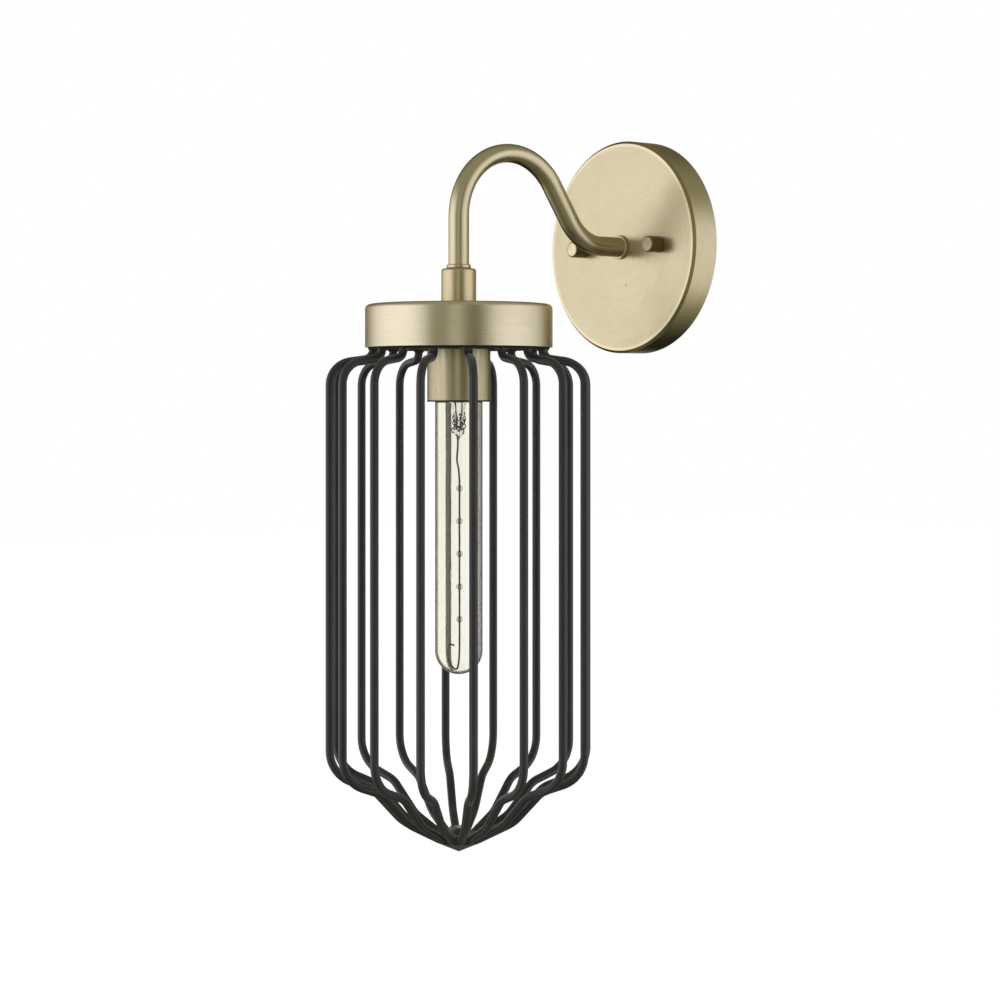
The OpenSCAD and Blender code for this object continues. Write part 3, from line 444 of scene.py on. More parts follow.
def aged_brass(name, brushing, tone, axis=UPRIGHT, lines=3200, rings=(), pit=None, lip=None):
    """Brass under satin lacquer. brushing is turned, upright or drawn, tone names the part whose painted
    light and shade is taken from the table of tones, and axis is what turned lines run round. rings are the
    radius, height, width, strength and colour of painted highlight and painted shade lines along turned
    edges, pit is a dark fleck and lip is the height of the cup's mouth, along which a dark band of painted
    shade runs.
    Drawn brass gets painted shade where it faces down"""
    material, t, shader, place = start_finish(name)
    given = finish_colours()
    # Each part's tone darkens or pales its brass: painted shade and painted highlight
    rubbed = shade(given.brass, PAINTED_TONES[tone])
    hollow = shade(given.brass_shade, PAINTED_TONES[tone])
    fine, broad = brushed(t, shader, place, brushing, axis, lines)
    wear = t.group("Edge wear", Place=place, Width=0.0005, Amount=0.75)
    smudge = t.group("Smudges", Place=place, Scale=34.0)
    dust = t.group("Dust", Place=place, Amount=0.10)
    streak = t.sum("MULTIPLY_ADD", fine, 0.62, t.sum("MULTIPLY", broad, 0.38))
    base = t.blend(streak, hollow, rubbed)
    base = t.blend(wear, base, shade(rubbed, 1.22))
    # Painted highlight and painted shade lines along turned edges
    for radius, height, width, strength, tint in rings:
        ring = t.group("Edge ring", Place=place, Turn=axis[1], Radius=radius, Height=height, Width=width)
        base = t.blend(t.sum("MULTIPLY", ring, strength), base, tint)
    # Painted shade: a dark band along the cup's bottom edge, where its mouth opens
    if lip is not None:
        painted_lip_shade = t.ease(t.split(place)[2], lip + 0.0012, lip + 0.0007)
        base = t.blend(painted_lip_shade, base, (0.075, 0.055, 0.03))
    if brushing == "drawn":
        # Painted shade: the drawn tube darkens where it faces down
        painted_underside_shade = t.sum("MULTIPLY", t.ease(t.split(t.normal())[2], 0.0, -0.75), 0.55)
        base = t.blend(painted_underside_shade, base, shade(hollow, 0.42))
    if pit:
        fleck = t.ease(t.measure("DISTANCE", place, pit), 0.0010, 0.0004)
        base = t.blend(fleck, base, (0.36, 0.25, 0.12))
    base = t.blend(dust, base, (0.55, 0.53, 0.48))
    rough = t.sum("MULTIPLY_ADD", streak, -0.09, 0.31)
    rough = t.sum("MULTIPLY_ADD", smudge, 0.06, rough)
    rough = t.sum("MULTIPLY_ADD", wear, 0.22, rough)
    rough = t.sum("MULTIPLY_ADD", dust, 0.5, rough, clamp=True)
    join(t, shader, Base_Color=base, Metallic=1.0, Roughness=rough, Specular_Tint=(0.45, 0.42, 0.36, 1),
         Coat_Weight=0.08, Coat_Roughness=0.22, Normal=bump(t, fine, 0.000012, 0.8))
    return material


def dark_bronze(name, nut, end_brightness):
    """Darkened knurled brass with a bright end face. Its third argument scales that end face: full on the
    left nut, and lower on the right nut as painted shade
    """
    material, t, shader, place = start_finish(name)
    given = finish_colours()
    low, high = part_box(nut)
    wide = high[0] - low[0]
    x, y, z = t.split(place)
    aside = t.sum("SUBTRACT", t.sum("ABSOLUTE", x), abs(low[0] + high[0]) / 2)
    end = t.ease(y, low[1] + 0.0005, low[1] + 0.0002)
    rubbed = t.sum("MULTIPLY", end, t.ease(t.hypotenuse(aside, z), 0.43 * wide, 0.36 * wide))
    grain = t.group("Grain", Place=place, Scale=1600.0, Contrast=2.2)
    wear = t.group("Edge wear", Place=place, Width=0.00025, Amount=0.3)
    smudge = t.group("Smudges", Place=place, Scale=160.0)
    round_about = t.sum("MULTIPLY", t.sum("ARCTAN2", z, aside), 34.0)
    knurl = t.sum("MULTIPLY_ADD", t.sum("SINE", round_about), 0.5, 0.5)
    knurl = t.sum("MULTIPLY", knurl, t.sum("SUBTRACT", 1.0, end))
    base = t.blend(grain, shade(given.bronze, 0.66), given.bronze)
    base = t.blend(t.sum("MULTIPLY", knurl, 0.45), base, (0.10, 0.075, 0.04))
    face = t.blend(smudge, shade((0.60, 0.53, 0.35), end_brightness), shade((0.76, 0.68, 0.46), end_brightness))
    base = t.blend(rubbed, base, face)
    base = t.blend(wear, base, (0.60, 0.53, 0.36))
    rough = t.sum("MULTIPLY_ADD", smudge, 0.12, 0.28)
    join(t, shader, Base_Color=base, Metallic=1.0, Roughness=rough, Coat_Weight=0.1, Coat_Roughness=0.3,
         Normal=bump(t, t.sum("MULTIPLY_ADD", knurl, -8.0, grain), 0.00001))
    return material


def black_coat(name, shine=0.5, sheen=0.22, rough_low=0.27):
    """Powder coat with its faint orange peel. shine and sheen are its specular level and soft rim, and
    rough_low is its roughness where it is smoothest"""
    material, t, shader, place = start_finish(name)
    given = finish_colours()
    peel = t.group("Grain", Place=place, Scale=900.0, Contrast=1.6)
    speck = t.group("Grain", Place=place, Scale=4200.0, Contrast=3.0)
    broad = t.group("Smudges", Place=place, Scale=60.0)
    dust = t.group("Dust", Place=place, Amount=0.10)
    wear = t.group("Edge wear", Place=place, Width=0.0004, Amount=0.35)
    mottle = t.sum("MULTIPLY_ADD", speck, 0.5, t.sum("MULTIPLY", broad, 0.5))
    base = t.blend(mottle, shade(given.coat, 0.82), shade(given.coat, 1.30))
    base = t.blend(wear, base, (0.075, 0.074, 0.072))
    base = t.blend(dust, base, (0.20, 0.195, 0.185))
    rough = t.sum("MULTIPLY_ADD", peel, 0.10, rough_low)
    height = t.sum("MULTIPLY_ADD", speck, 0.25, peel)
    join(t, shader, Base_Color=base, Roughness=rough, Specular_IOR_Level=shine, Sheen_Weight=sheen,
         Sheen_Roughness=0.35, Normal=bump(t, height, 0.00005, 0.8))
    return material


def plated_steel(name, tint, spangle=0.25):
    """Zinc plating with its soft patchy sheen. spangle is how much darker its dark patches are"""
    material, t, shader, place = start_finish(name)
    grain = t.group("Grain", Place=place, Scale=2200.0, Contrast=2.0)
    cells = t.add("ShaderNodeTexVoronoi", {"Vector": place, "Scale": 520.0}, feature="SMOOTH_F1")
    patch = t.add("ShaderNodeRGBToBW", {0: cells.outputs["Color"]}).outputs[0]
    wear = t.group("Edge wear", Place=place, Width=0.0003, Amount=0.7)
    mottle = t.sum("MULTIPLY_ADD", patch, 0.6, t.sum("MULTIPLY", grain, 0.4))
    base = t.blend(mottle, shade(tint, 1 - spangle), tint)
    base = t.blend(wear, base, shade(tint, 1.25))
    rough = t.sum("MULTIPLY_ADD", patch, 0.16, 0.26)
    join(t, shader, Base_Color=base, Metallic=1.0, Roughness=rough, Normal=bump(t, grain, 0.000008))
    return material


def stamped_brass():
    """Bright brass of the screw shells, with the fine lines of its spinning"""
    made = bpy.data.materials.get("Bright stamped brass")
    if made:
        return made
    material, t, shader, place = start_finish("Bright stamped brass")
    given = finish_colours()
    lines = t.group("Turned lines", Place=place, Centre=AXIS, Lines=2600.0, Breaks=3.0, Contrast=2.0)
    smudge = t.group("Smudges", Place=place, Scale=90.0)
    wear = t.group("Edge wear", Place=place, Width=0.0003, Amount=0.6)
    base = t.blend(lines, shade(given.stamped, 0.85), given.stamped)
    base = t.blend(t.sum("MULTIPLY", smudge, 0.35), base, (0.45, 0.31, 0.15))
    base = t.blend(wear, base, (0.95, 0.86, 0.62))
    rough = t.sum("MULTIPLY_ADD", smudge, 0.16, 0.18)
    join(t, shader, Base_Color=base, Metallic=1.0, Roughness=rough, Normal=bump(t, lines, 0.000008))
    return material


def glazed_porcelain():
    """White glaze with a few dark specks"""
    material, t, shader, place = start_finish("Glazed porcelain")
    given = finish_colours()
    cloud = t.group("Smudges", Place=place, Scale=70.0)
    speck = t.group("Grain", Place=place, Scale=2600.0, Contrast=7.0)
    wave = t.group("Grain", Place=place, Scale=240.0, Contrast=1.2)
    base = t.blend(cloud, shade(given.porcelain, 0.94), given.porcelain)
    base = t.blend(t.sum("MULTIPLY", t.ease(speck, 0.97, 1.0), 0.4), base, (0.35, 0.30, 0.24))
    rough = t.sum("MULTIPLY_ADD", cloud, 0.10, 0.22)
    join(t, shader, Base_Color=base, Roughness=rough, Coat_Weight=0.6, Coat_Roughness=0.08,
         Normal=bump(t, wave, 0.00004))
    return material


def clear_glass(name, tint, warm, bands, rim, waves, clear=1.0):
    """Drawn glass with soft warm bands along it, and painted shade: the base colour turns dark where the
    glass turns away, for the dark line that glass shows there. bands is how fine the bands are, rim is how
    far the glass has turned where the painted line starts and where it is full, and waves is the depth of
    its waves"""
    material, t, shader, place = start_finish(name)
    film = t.group("Grain", Place=place, Stretch=(1, 1, 0.02), Scale=bands, Contrast=3.4)
    draw = t.group("Grain", Place=place, Stretch=(1, 1, 0.03), Scale=420.0, Contrast=1.2)
    facing = t.add("ShaderNodeLayerWeight", {"Blend": 0.5}).outputs["Facing"]
    base = t.blend(film, tint, warm)
    # Painted shade: a dark line in the base colour where the glass turns away
    base = t.blend(t.ease(facing, *rim), base, (0.03, 0.028, 0.02))
    rough = t.ease(film, 0.2, 1.0, 0.0, 0.02)
    join(t, shader, Base_Color=base, Roughness=rough, Transmission_Weight=clear, Metallic=0.0, IOR=1.45,
         Normal=bump(t, draw, waves))
    return material


def drawn_wire():
    """The dark wire inside the bulb"""
    material, t, shader, place = start_finish("Drawn dark wire")
    grain = t.group("Grain", Place=place, Stretch=(1, 1, 0.1), Scale=5200.0, Contrast=2.0)
    broad = t.group("Smudges", Place=place, Scale=300.0)
    share = t.sum("MULTIPLY_ADD", grain, 0.4, t.sum("MULTIPLY", broad, 0.6))
    base = t.blend(share, (0.014, 0.012, 0.009), (0.045, 0.038, 0.028))
    rough = t.sum("MULTIPLY_ADD", broad, 0.2, 0.30)
    join(t, shader, Base_Color=base, Metallic=1.0, Roughness=rough, Specular_Tint=(0.22, 0.20, 0.17, 1),
         Normal=bump(t, grain, 0.000004))
    return material


def fused_insulator():
    """Black glass at the end of the bulb's base"""
    material, t, shader, place = start_finish("Black fused insulator")
    grain = t.group("Grain", Place=place, Scale=1500.0, Contrast=2.0)
    cloud = t.group("Smudges", Place=place, Scale=260.0)
    base = t.blend(grain, (0.012, 0.012, 0.016), (0.030, 0.030, 0.038))
    rough = t.sum("MULTIPLY_ADD", cloud, 0.14, 0.16)
    join(t, shader, Base_Color=base, Roughness=rough, Coat_Weight=0.5, Normal=bump(t, grain, 0.00001))
    return material


def dull_solder():
    """The lump of solder on the bulb's contact"""
    material, t, shader, place = start_finish("Dull solder")
    blobs = t.group("Grain", Place=place, Scale=520.0, Contrast=1.8)
    grain = t.group("Grain", Place=place, Scale=3200.0, Contrast=2.0)
    base = t.blend(blobs, (0.42, 0.42, 0.43), (0.66, 0.66, 0.67))
    rough = t.sum("MULTIPLY_ADD", grain, 0.2, 0.34)
    join(t, shader, Base_Color=base, Metallic=1.0, Roughness=rough, Normal=bump(t, blobs, 0.00012))
    return material


def lead_jacket(name, tint):
    """The soft jacket of a lead"""
    material, t, shader, place = start_finish(name)
    grain = t.group("Grain", Place=place, Scale=2400.0, Contrast=1.8)
    cloud = t.group("Smudges", Place=place, Scale=120.0)
    base = t.blend(cloud, shade(tint, 0.82), tint)
    rough = t.sum("MULTIPLY_ADD", grain, 0.16, 0.42)
    join(t, shader, Base_Color=base, Roughness=rough, Normal=bump(t, grain, 0.00001))
    return material


def dress(material, *names):
    """Gives CAD nodes their finish"""
    for name in names:
        slots = NODES[name].data.materials
        slots.clear()
        slots.append(material)


# Shapes


def circle(count):
    """Angles evenly round a circle"""
    return [math.tau * k / count for k in range(count)]


def around(a):
    """The level way at an angle round an upright axis"""
    return Vector((math.cos(a), math.sin(a), 0))


def finish_mesh(name, mesh_data, material, sharp=math.radians(35)):
    """An object from a bmesh, smooth but for the edges that are sharper than the angle given"""
    bmesh.ops.recalc_face_normals(mesh_data, faces=mesh_data.faces)
    for face in mesh_data.faces:
        face.smooth = True
    for edge in mesh_data.edges:
        if len(edge.link_faces) == 2 and edge.calc_face_angle(0.0) > sharp:
            edge.smooth = False
    mesh = bpy.data.meshes.new(name)
    mesh_data.to_mesh(mesh)
    mesh_data.free()
    mesh.materials.append(material)
    piece = bpy.data.objects.new(name, mesh)
    bpy.context.scene.collection.objects.link(piece)
    return piece


def rounded_path(corners, radii, step):
    """Points, headings, distances, bend shares and corners along straight runs with round bends. The
    bend share rises from 0 to 1 and back over a bend, and step is the turn from point to point in it"""
    stops = []
    for i, corner in enumerate(corners):
        if i in (0, len(corners) - 1):
            stops.append((corner.copy(), None, 0.0, i))
            continue
        back = (corners[i - 1] - corner).normalized()
        on = (corners[i + 1] - corner).normalized()
        half = back.angle(on) / 2
        centre = corner + (back + on).normalized() * (radii[i] / math.sin(half))
        start = corner + back * (radii[i] / math.tan(half))
        end = corner + on * (radii[i] / math.tan(half))
        a, b = start - centre, end - centre
        sweep = math.atan2(a.x * b.y - a.y * b.x, a.dot(b))
        count = max(2, math.ceil(abs(sweep) / step))
        for k in range(count + 1):
            turn = sweep * k / count
            arm = Matrix.Rotation(turn, 2) @ a
            ahead = Vector((-arm.y, arm.x)).normalized() * (1 if sweep > 0 else -1)
            stops.append((centre + arm, ahead, math.sin(math.pi * k / count), i))
    path = []
    run = 0.0
    for k, (point, ahead, share, corner) in enumerate(stops):
        if ahead is None:
            other = stops[1][0] if k == 0 else stops[-2][0]
            ahead = (other - point if k == 0 else point - other).normalized()
        if path:
            run += (point - path[-1][0]).length
        path.append((point, ahead, run, share, corner))
    return path


def skin(mesh_data, rings, looped=False, capped=False):
    """The faces through rings of points, ring by ring. looped joins the last ring to the first, and
    capped closes the first and the last"""
    grid = [[mesh_data.verts.new(p) for p in ring] for ring in rings]
    pairs = list(zip(grid, grid[1:]))
    if looped:
        pairs.append((grid[-1], grid[0]))
    faces = []
    for here, there in pairs:
        for k in range(len(here)):
            n = (k + 1) % len(here)
            faces.append(mesh_data.faces.new((here[k], here[n], there[n], there[k])))
    if capped:
        mesh_data.faces.new(list(reversed(grid[0])))
        mesh_data.faces.new(grid[-1])
    return faces


def soft_points(points, steps=6):
    """A smooth curve through points"""
    padded = [2 * points[0] - points[1], *points, 2 * points[-1] - points[-2]]
    out = []
    for i in range(1, len(padded) - 2):
        p0, p1, p2, p3 = padded[i - 1 : i + 3]
        for k in range(steps):
            u = k / steps
            out.append(
                0.5 * (2 * p1 + (p2 - p0) * u + (2 * p0 - 5 * p1 + 4 * p2 - p3) * u * u
                       + (3 * p1 - p0 - 3 * p2 + p3) * u ** 3)
            )
    out.append(points[-1].copy())
    return out


def ring_points(centre, r, side, other, count):
    """Points of a circle that lies in the plane of two unit vectors"""
    return [centre + r * (math.cos(a) * side + math.sin(a) * other) for a in circle(count)]


def level_ring(r, z, count):
    """Points of a level circle round the cage's axis"""
    return [AXIS + r * around(a) + z * UP for a in circle(count)]


def wire_rings(points, diameter, sides=10):
    """Rings of points round a curve, carried along it without twist"""
    rings = []
    # A way that none of these curves sets out in
    side = Vector((0, 0.31, 0.95))
    last = len(points) - 1
    for i, point in enumerate(points):
        ahead = (points[min(i + 1, last)] - points[max(i - 1, 0)]).normalized()
        side = (side - side.dot(ahead) * ahead).normalized()
        rings.append(ring_points(point, diameter / 2, side, ahead.cross(side), sides))
    return rings


def turned_mesh(profile, segments):
    """A closed profile of (radius, height), turned round the cage's axis"""
    mesh_data = bmesh.new()
    skin(mesh_data, [level_ring(r, z, segments) for r, z in profile], looped=True)
    bmesh.ops.remove_doubles(mesh_data, verts=mesh_data.verts, dist=1e-7)
    return mesh_data


def from_level(z, *points):
    """Profile points given in millimetres, with their heights from a level"""
    return [(r * MM, z + up * MM) for r, up in points]


def arc(cr, cz, r, start, end, steps):
    """Profile points on an arc about (cr, cz), angles in degrees"""
    out = []
    for k in range(steps + 1):
        a = math.radians(start + (end - start) * k / steps)
        out.append((cr + r * math.cos(a), cz + r * math.sin(a)))
    return out


def settle(piece, body, slot, *stands_for):
    """Says what a piece rides on and hides the nodes it stands for. slot, the slot it is finished from, is
    not used
    """
    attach(piece, body)
    if stands_for:
        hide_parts(*stands_for)


# Steps


class CageLightStep:
    """What every operator of the light has in common"""

    bl_options = {"REGISTER", "UNDO"}


class CAGE_OT_wall_plate(CageLightStep, bpy.types.Operator):
    """Finish the wall plate, brushed round its middle"""

    bl_idname = "cage_light.wall_plate"
    bl_label = "Wall plate"

    def execute(self, context):
        size = context.scene.cage_light_plate
        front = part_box("wall_plate")[0][1]
        reach = node_radius("wall_plate")
        bevel = size.bevel
        # A painted highlight line inside the bevel and a painted shade line, dark brown, on it
        rings = (
            (reach - 1.5 * bevel, front, 0.9 * bevel, 0.8, (0.80, 0.69, 0.46)),
            (reach - bevel / 2, front + bevel / 2, 0.95 * bevel, 0.85, (0.34, 0.24, 0.12)),
        )
        pit = (size.fleck_right, front, -size.fleck_down)
        brass = aged_brass("Brass plate", "turned", "plate", OUT_OF_WALL, lines=2600, rings=rings, pit=pit)
        dress(brass, "wall_plate")
        return {"FINISHED"}


class CAGE_OT_fittings(CageLightStep, bpy.types.Operator):
    """Finish the strap, studs, nuts, washers and nipples"""

    bl_idname = "cage_light.fittings"
    bl_label = "Hidden fittings"

    def execute(self, context):
        given = finish_colours()
        dress(
            plated_steel("Zinc plate", given.zinc),
            "mounting_strap", "plate_studs", "stud_lock_nuts", "arm_tail_nipple", "tail_lock_washer",
            "tail_nut", "arm_leg_nipple", "cap_nipple", "cap_lock_washer", "cap_lock_nut", "keyhole_plate",
            "lampholder_bracket", "lampholder_nut", "cage_posts",
        )
        dress(plated_steel("Old zinc", (0.30, 0.285, 0.28)), "cage_tip_nut")
        dress(plated_steel("Green screw", given.ground, spangle=0.35), "ground_screw")
        return {"FINISHED"}


class CAGE_OT_cap_nuts(CageLightStep, bpy.types.Operator):
    """Finish the two knurled cap nuts"""

    bl_idname = "cage_light.cap_nuts"
    bl_label = "Cap nuts"

    def execute(self, context):
        dress(dark_bronze("Dark bronze left", "left_cap_nut", end_brightness=1.0), "left_cap_nut")
        # Painted shade: the right nut's end face is made darker than the left's
        dress(dark_bronze("Dark bronze right", "right_cap_nut", end_brightness=0.62), "right_cap_nut")
        return {"FINISHED"}


class CAGE_OT_arm(CageLightStep, bpy.types.Operator):
    """Bend the arm's tube, flattened where it bends, and finish its rings"""

    bl_idname = "cage_light.arm"
    bl_label = "Arm"

    def execute(self, context):
        size = context.scene.cage_light_arm
        material = aged_brass("Brass tube", "drawn", "arm")
        arm = finish_mesh("bent_arm", self.bent_tube(size, self.centre_line(size)), material)
        settle(arm, "fixture", "aged_brass", "arm_tube")
        dress(aged_brass("Brass collar", "turned", "arm", OUT_OF_WALL, lines=3600), "arm_collar")
        dress(aged_brass("Brass ferrule", "turned", "arm", lines=3600), "arm_ferrule")
        return {"FINISHED"}

    def centre_line(self, size):
        """The path of the tube's middle, up from the neck, over the arch and down to the plate, with
        distances from the cage's axis and heights"""
        slope = size.slope
        end_x = size.arch_r * (1 + math.sin(slope))
        end_z = size.arch_rise - size.arch_r * (1 - math.cos(slope))
        corners = [
            Vector((0, node_bottom("arm_tube"))),
            Vector((0, end_z + end_x * math.tan(slope))),
            Vector((end_x + end_z / math.tan(slope), 0)),
            Vector((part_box("arm_tube")[1][1] - AXIS_Y, 0)),
        ]
        return rounded_path(corners, [0, size.arch_r, size.low_r, 0], math.radians(2.5))

    def bent_tube(self, size, path, sides=56):
        """The tube's outside and inside round its path, with a map of metres along and round it"""
        flat = [0, size.arch_flat, size.low_flat, 0]
        outside, inside = [], []
        for point, ahead, _, share, corner in path:
            squeeze = flat[corner] * share ** 0.7 if share > 0 else 0.0
            square = Vector((-ahead.y, ahead.x))
            for rings, r in ((outside, size.tube_d / 2), (inside, size.tube_d / 2 - size.tube_wall)):
                ring = []
                for a in circle(sides):
                    aside = r * (1 + size.widening * squeeze) * math.sin(a)
                    middle = point + square * (r * (1 - squeeze) * math.cos(a))
                    ring.append((aside, AXIS_Y + middle.x, middle.y))
                rings.append(ring)
        distances = [step[2] for step in path]
        total = distances[-1]
        marks = distances + [2 * total - d for d in reversed(distances)] + [2 * total + size.tube_wall]
        mesh_data = bmesh.new()
        uv = mesh_data.loops.layers.uv.new("Along")
        faces = skin(mesh_data, outside + list(reversed(inside)) + [outside[0]])
        for number, face in enumerate(faces):
            i, k = divmod(number, sides)
            for loop, (row, column) in zip(face.loops, ((i, k), (i, k + 1), (i + 1, k + 1), (i + 1, k))):
                loop[uv].uv = (marks[row], math.pi * size.tube_d * column / sides)
        bmesh.ops.remove_doubles(mesh_data, verts=mesh_data.verts, dist=1e-7)
        return mesh_data


class CAGE_OT_cap(CageLightStep, bpy.types.Operator):
    """Finish the neck, the cap and the socket cup"""

    bl_idname = "cage_light.cap"
    bl_label = "Neck, cap and cup"

    def execute(self, context):
        dress(aged_brass("Brass cap", "turned", "cap", lines=3000), "cap")
        dress(aged_brass("Brass neck", "upright", "neck"), "neck_coupling")
        lip = node_bottom("socket_cup")
        dress(aged_brass("Brass cup", "upright", "cup", lip=lip), "socket_cup")
        return {"FINISHED"}


class CAGE_OT_lampholder(CageLightStep, bpy.types.Operator):
    """Finish the lampholder and the three leads"""

    bl_idname = "cage_light.lampholder"
    bl_label = "Lampholder and leads"

    def execute(self, context):
        dress(glazed_porcelain(), "lampholder_body")
        dress(stamped_brass(), "lampholder_shell", "centre_contact")
        dress(lead_jacket("Black jacket", (0.018, 0.018, 0.018)), "live_lead")
        dress(lead_jacket("White jacket", (0.72, 0.71, 0.67)), "neutral_lead")
        dress(lead_jacket("Green jacket", finish_colours().ground), "ground_lead")
        return {"FINISHED"}


class CAGE_OT_cage(CageLightStep, bpy.types.Operator):
    """Finish the cage and add its weld beads"""

    bl_idname = "cage_light.cage"
    bl_label = "Cage"

    def execute(self, context):
        size = context.scene.cage_light_cage
        coat = black_coat("Black powder coat")
        dress(coat, "cage_hub", "cage_tip", *CAGE_WIRES)
        dress(black_coat("Dull black coat", shine=0.08, sheen=0.0, rough_low=0.6), "cage_plate")
        beads = bmesh.new()
        for i, turn in enumerate(circle(len(CAGE_WIRES))):
            self.plate_bead(beads, size, size.first_turn - math.pi / 2 + turn, i)
        piece = finish_mesh("plate_welds", beads, coat)
        settle(piece, "cage", "black_coat")
        piece = finish_mesh("hub_weld", self.hub_bead(size), coat)
        settle(piece, "cage", "black_coat")
        return {"FINISHED"}

    def plate_bead(self, target, size, turn, i):
        """A small fillet of weld where wire i meets the underside of the plate"""
        r = size.wire_d / 2
        middle = AXIS + node_bottom("cage_plate") * UP
        foot = middle + size.wire_circle * around(turn)
        limit = node_radius("cage_plate") - 0.15 * MM
        sunk = 0.1 * MM
        columns = []
        for a in circle(28):
            way = around(a)
            uneven = 1 + 0.16 * math.sin(3 * a + 1.7 * i) + 0.10 * math.sin(7 * a + i)
            outer = r + size.weld * uneven
            outer -= max(0, (foot + way * outer - middle).length - limit)
            outer = max(outer, r + sunk)
            profile = (
                (outer, sunk), (outer, -sunk), ((r + outer) / 2, -0.32 * size.weld),
                (r + 0.06 * size.weld, -0.9 * size.weld), (r - 3 * sunk, -1.1 * size.weld),
                (r - 3 * sunk, sunk),
            )
            columns.append([foot + way * out + UP * up for out, up in profile])
        skin(target, columns, looped=True)

    def hub_bead(self, size):
        """The run of weld round the hub, fuller between the wires"""
        middle = AXIS + (node_bottom("cage_hub") + node_top("cage_hub")) / 2 * UP
        rings = []
        for a in circle(192):
            between = 0.5 - 0.5 * math.cos(len(CAGE_WIRES) * (a - size.first_turn + math.pi / 2))
            fat = size.weld * (1.0 + 0.35 * between + 0.08 * math.sin(41 * a))
            rings.append(ring_points(middle + size.hub_r * around(a), fat, around(a), UP, 12))
        mesh_data = bmesh.new()
        skin(mesh_data, rings, looped=True)
        return mesh_data


class CAGE_OT_bulb(CageLightStep, bpy.types.Operator):
    """Blow the bulb's glass and build its base and inner wires"""

    bl_idname = "cage_light.bulb"
    bl_label = "Bulb"

    def execute(self, context):
        size = context.scene.cage_light_bulb
        given = finish_colours()
        self.glass(size, clear_glass(
            "Bulb glass", given.glass, (0.955, 0.92, 0.80), bands=150.0, rim=(0.56, 0.66), waves=0.01 * MM,
        ))
        self.stem(clear_glass(
            "Stem glass", (0.98, 0.98, 0.98), (0.94, 0.94, 0.95), bands=900.0, rim=(0.60, 0.85),
            waves=0.02 * MM,
        ))
        dress(clear_glass(
            "Bead glass", (0.99, 0.98, 0.93), (0.95, 0.93, 0.85), bands=1400.0, rim=(0.34, 0.50),
            waves=0.03 * MM, clear=0.95,
        ), "bulb_beads")
        self.base(size)
        dress(fused_insulator(), "bulb_insulator")
        dress(dull_solder(), "bulb_contact")
        steel = drawn_wire()
        button = node_bottom("bulb_stem") + 3.4 * MM
        self.centre_wire(size, steel, button)
        self.fine_wires(size, steel, button)
        return {"FINISHED"}

    def glass(self, size, material):
        """The tube: round below, drawn in to the base above"""
        low, high = GLASS_BOX
        wall = size.glass_wall
        r = node_radius("bulb_glass")
        rim = node_bottom("bulb_shell")
        neck_r = r - 2.45 * MM
        shoulder = rim - 2.2 * MM
        shoulder_r = 1.2 * MM
        centre_z = low[2] + r
        support = 0.3 * MM
        levels = [centre_z + support, (centre_z + shoulder) / 2, shoulder - support]
        outside = [
            *arc(0, centre_z, r, -90, 0, 20), *[(r, z) for z in levels], (r, shoulder),
            *arc(r - shoulder_r, shoulder, shoulder_r, 0, 60, 4)[1:],
            (neck_r, rim + 0.3 * MM), (neck_r, high[2]),
        ]
        inside = [
            (neck_r - wall, high[2]), (neck_r - wall, rim), (r - wall, shoulder),
            *[(r - wall, z) for z in reversed(levels)], *reversed(arc(0, centre_z, r - wall, -90, 0, 20)),
        ]
        piece = finish_mesh("bulb_envelope", turned_mesh(outside + inside, 128), material, math.radians(50))
        settle(piece, "bulb", "clear_glass", "bulb_glass")

    def stem(self, material):
        """The hollow flared stem, closed below round a button"""
        top = node_top("bulb_stem")
        low = node_bottom("bulb_stem")
        mouth = node_bottom("bulb_shell")
        button_r = 2.9 * MM
        outside = [
            *from_level(top, (10.8, -1.0), (8.2, -1.6), (6.6, -3.4)),
            *from_level(mouth, (5.6, 0), (4.9, -2.4), (4.1, -5.0), (3.5, -8.0), (3.1, -11.0)),
            *from_level(low, (2.6, 7.6), (2.2, 5.4), (2.2, 4.4)),
            *arc(0, low + button_r, button_r, 32, -90, 12),
        ]
        inside = [
            *from_level(low, (0, 9.4), (1.3, 9.8)),
            *from_level(mouth, (2.3, -10.8), (2.8, -8.0), (3.4, -5.0), (4.2, -2.4), (4.9, 0)),
            *from_level(top, (5.9, -3.0), (7.8, -0.6), (10.8, 0)),
        ]
        piece = finish_mesh("flared_stem", turned_mesh(outside + inside, 64), material, math.radians(60))
        settle(piece, "bulb", "clear_glass", "bulb_stem")

    def base(self, size):
        """The screw shell, with a true right-hand thread between plain ends"""
        low, high = node_bottom("bulb_shell"), node_top("bulb_shell")
        core = size.base_d / 2 - size.thread_depth
        wall = 0.3 * MM
        plain = 1.8 * MM
        run_out = 2.0 * MM
        segments, rows = 96, 150
        rings = []
        for i in range(rows + 1):
            z = low + (high - low) * i / rows
            start = min(1, max(0, (z - low - plain) / run_out))
            end = min(1, max(0, (high - plain - z) / run_out))
            ring = []
            for a in circle(segments):
                wave = 0.5 + 0.5 * math.cos(math.tau * z / size.thread_pitch - a)
                ring.append(AXIS + (core + size.thread_depth * start * end * wave) * around(a) + z * UP)
            rings.append(ring)
        rim = node_radius("bulb_insulator") - 0.4 * MM
        for r, z in ((rim, high), (rim, high - wall), (core - wall, high - wall), (core - wall, low)):
            rings.append(level_ring(r, z, segments))
        mesh_data = bmesh.new()
        skin(mesh_data, rings, looped=True)
        piece = finish_mesh("threaded_base", mesh_data, stamped_brass(), math.radians(60))
        settle(piece, "bulb", "bright_brass", "bulb_shell")

    def curve(self, size, points, turn=0.0):
        """Points given by millimetres off the bulb's axis, the way that its wires face, and by heights"""
        face = Euler((0, 0, size.wire_side + turn)).to_matrix()
        return [AXIS + face @ Vector((x * MM, y * MM, z)) for x, y, z in points]

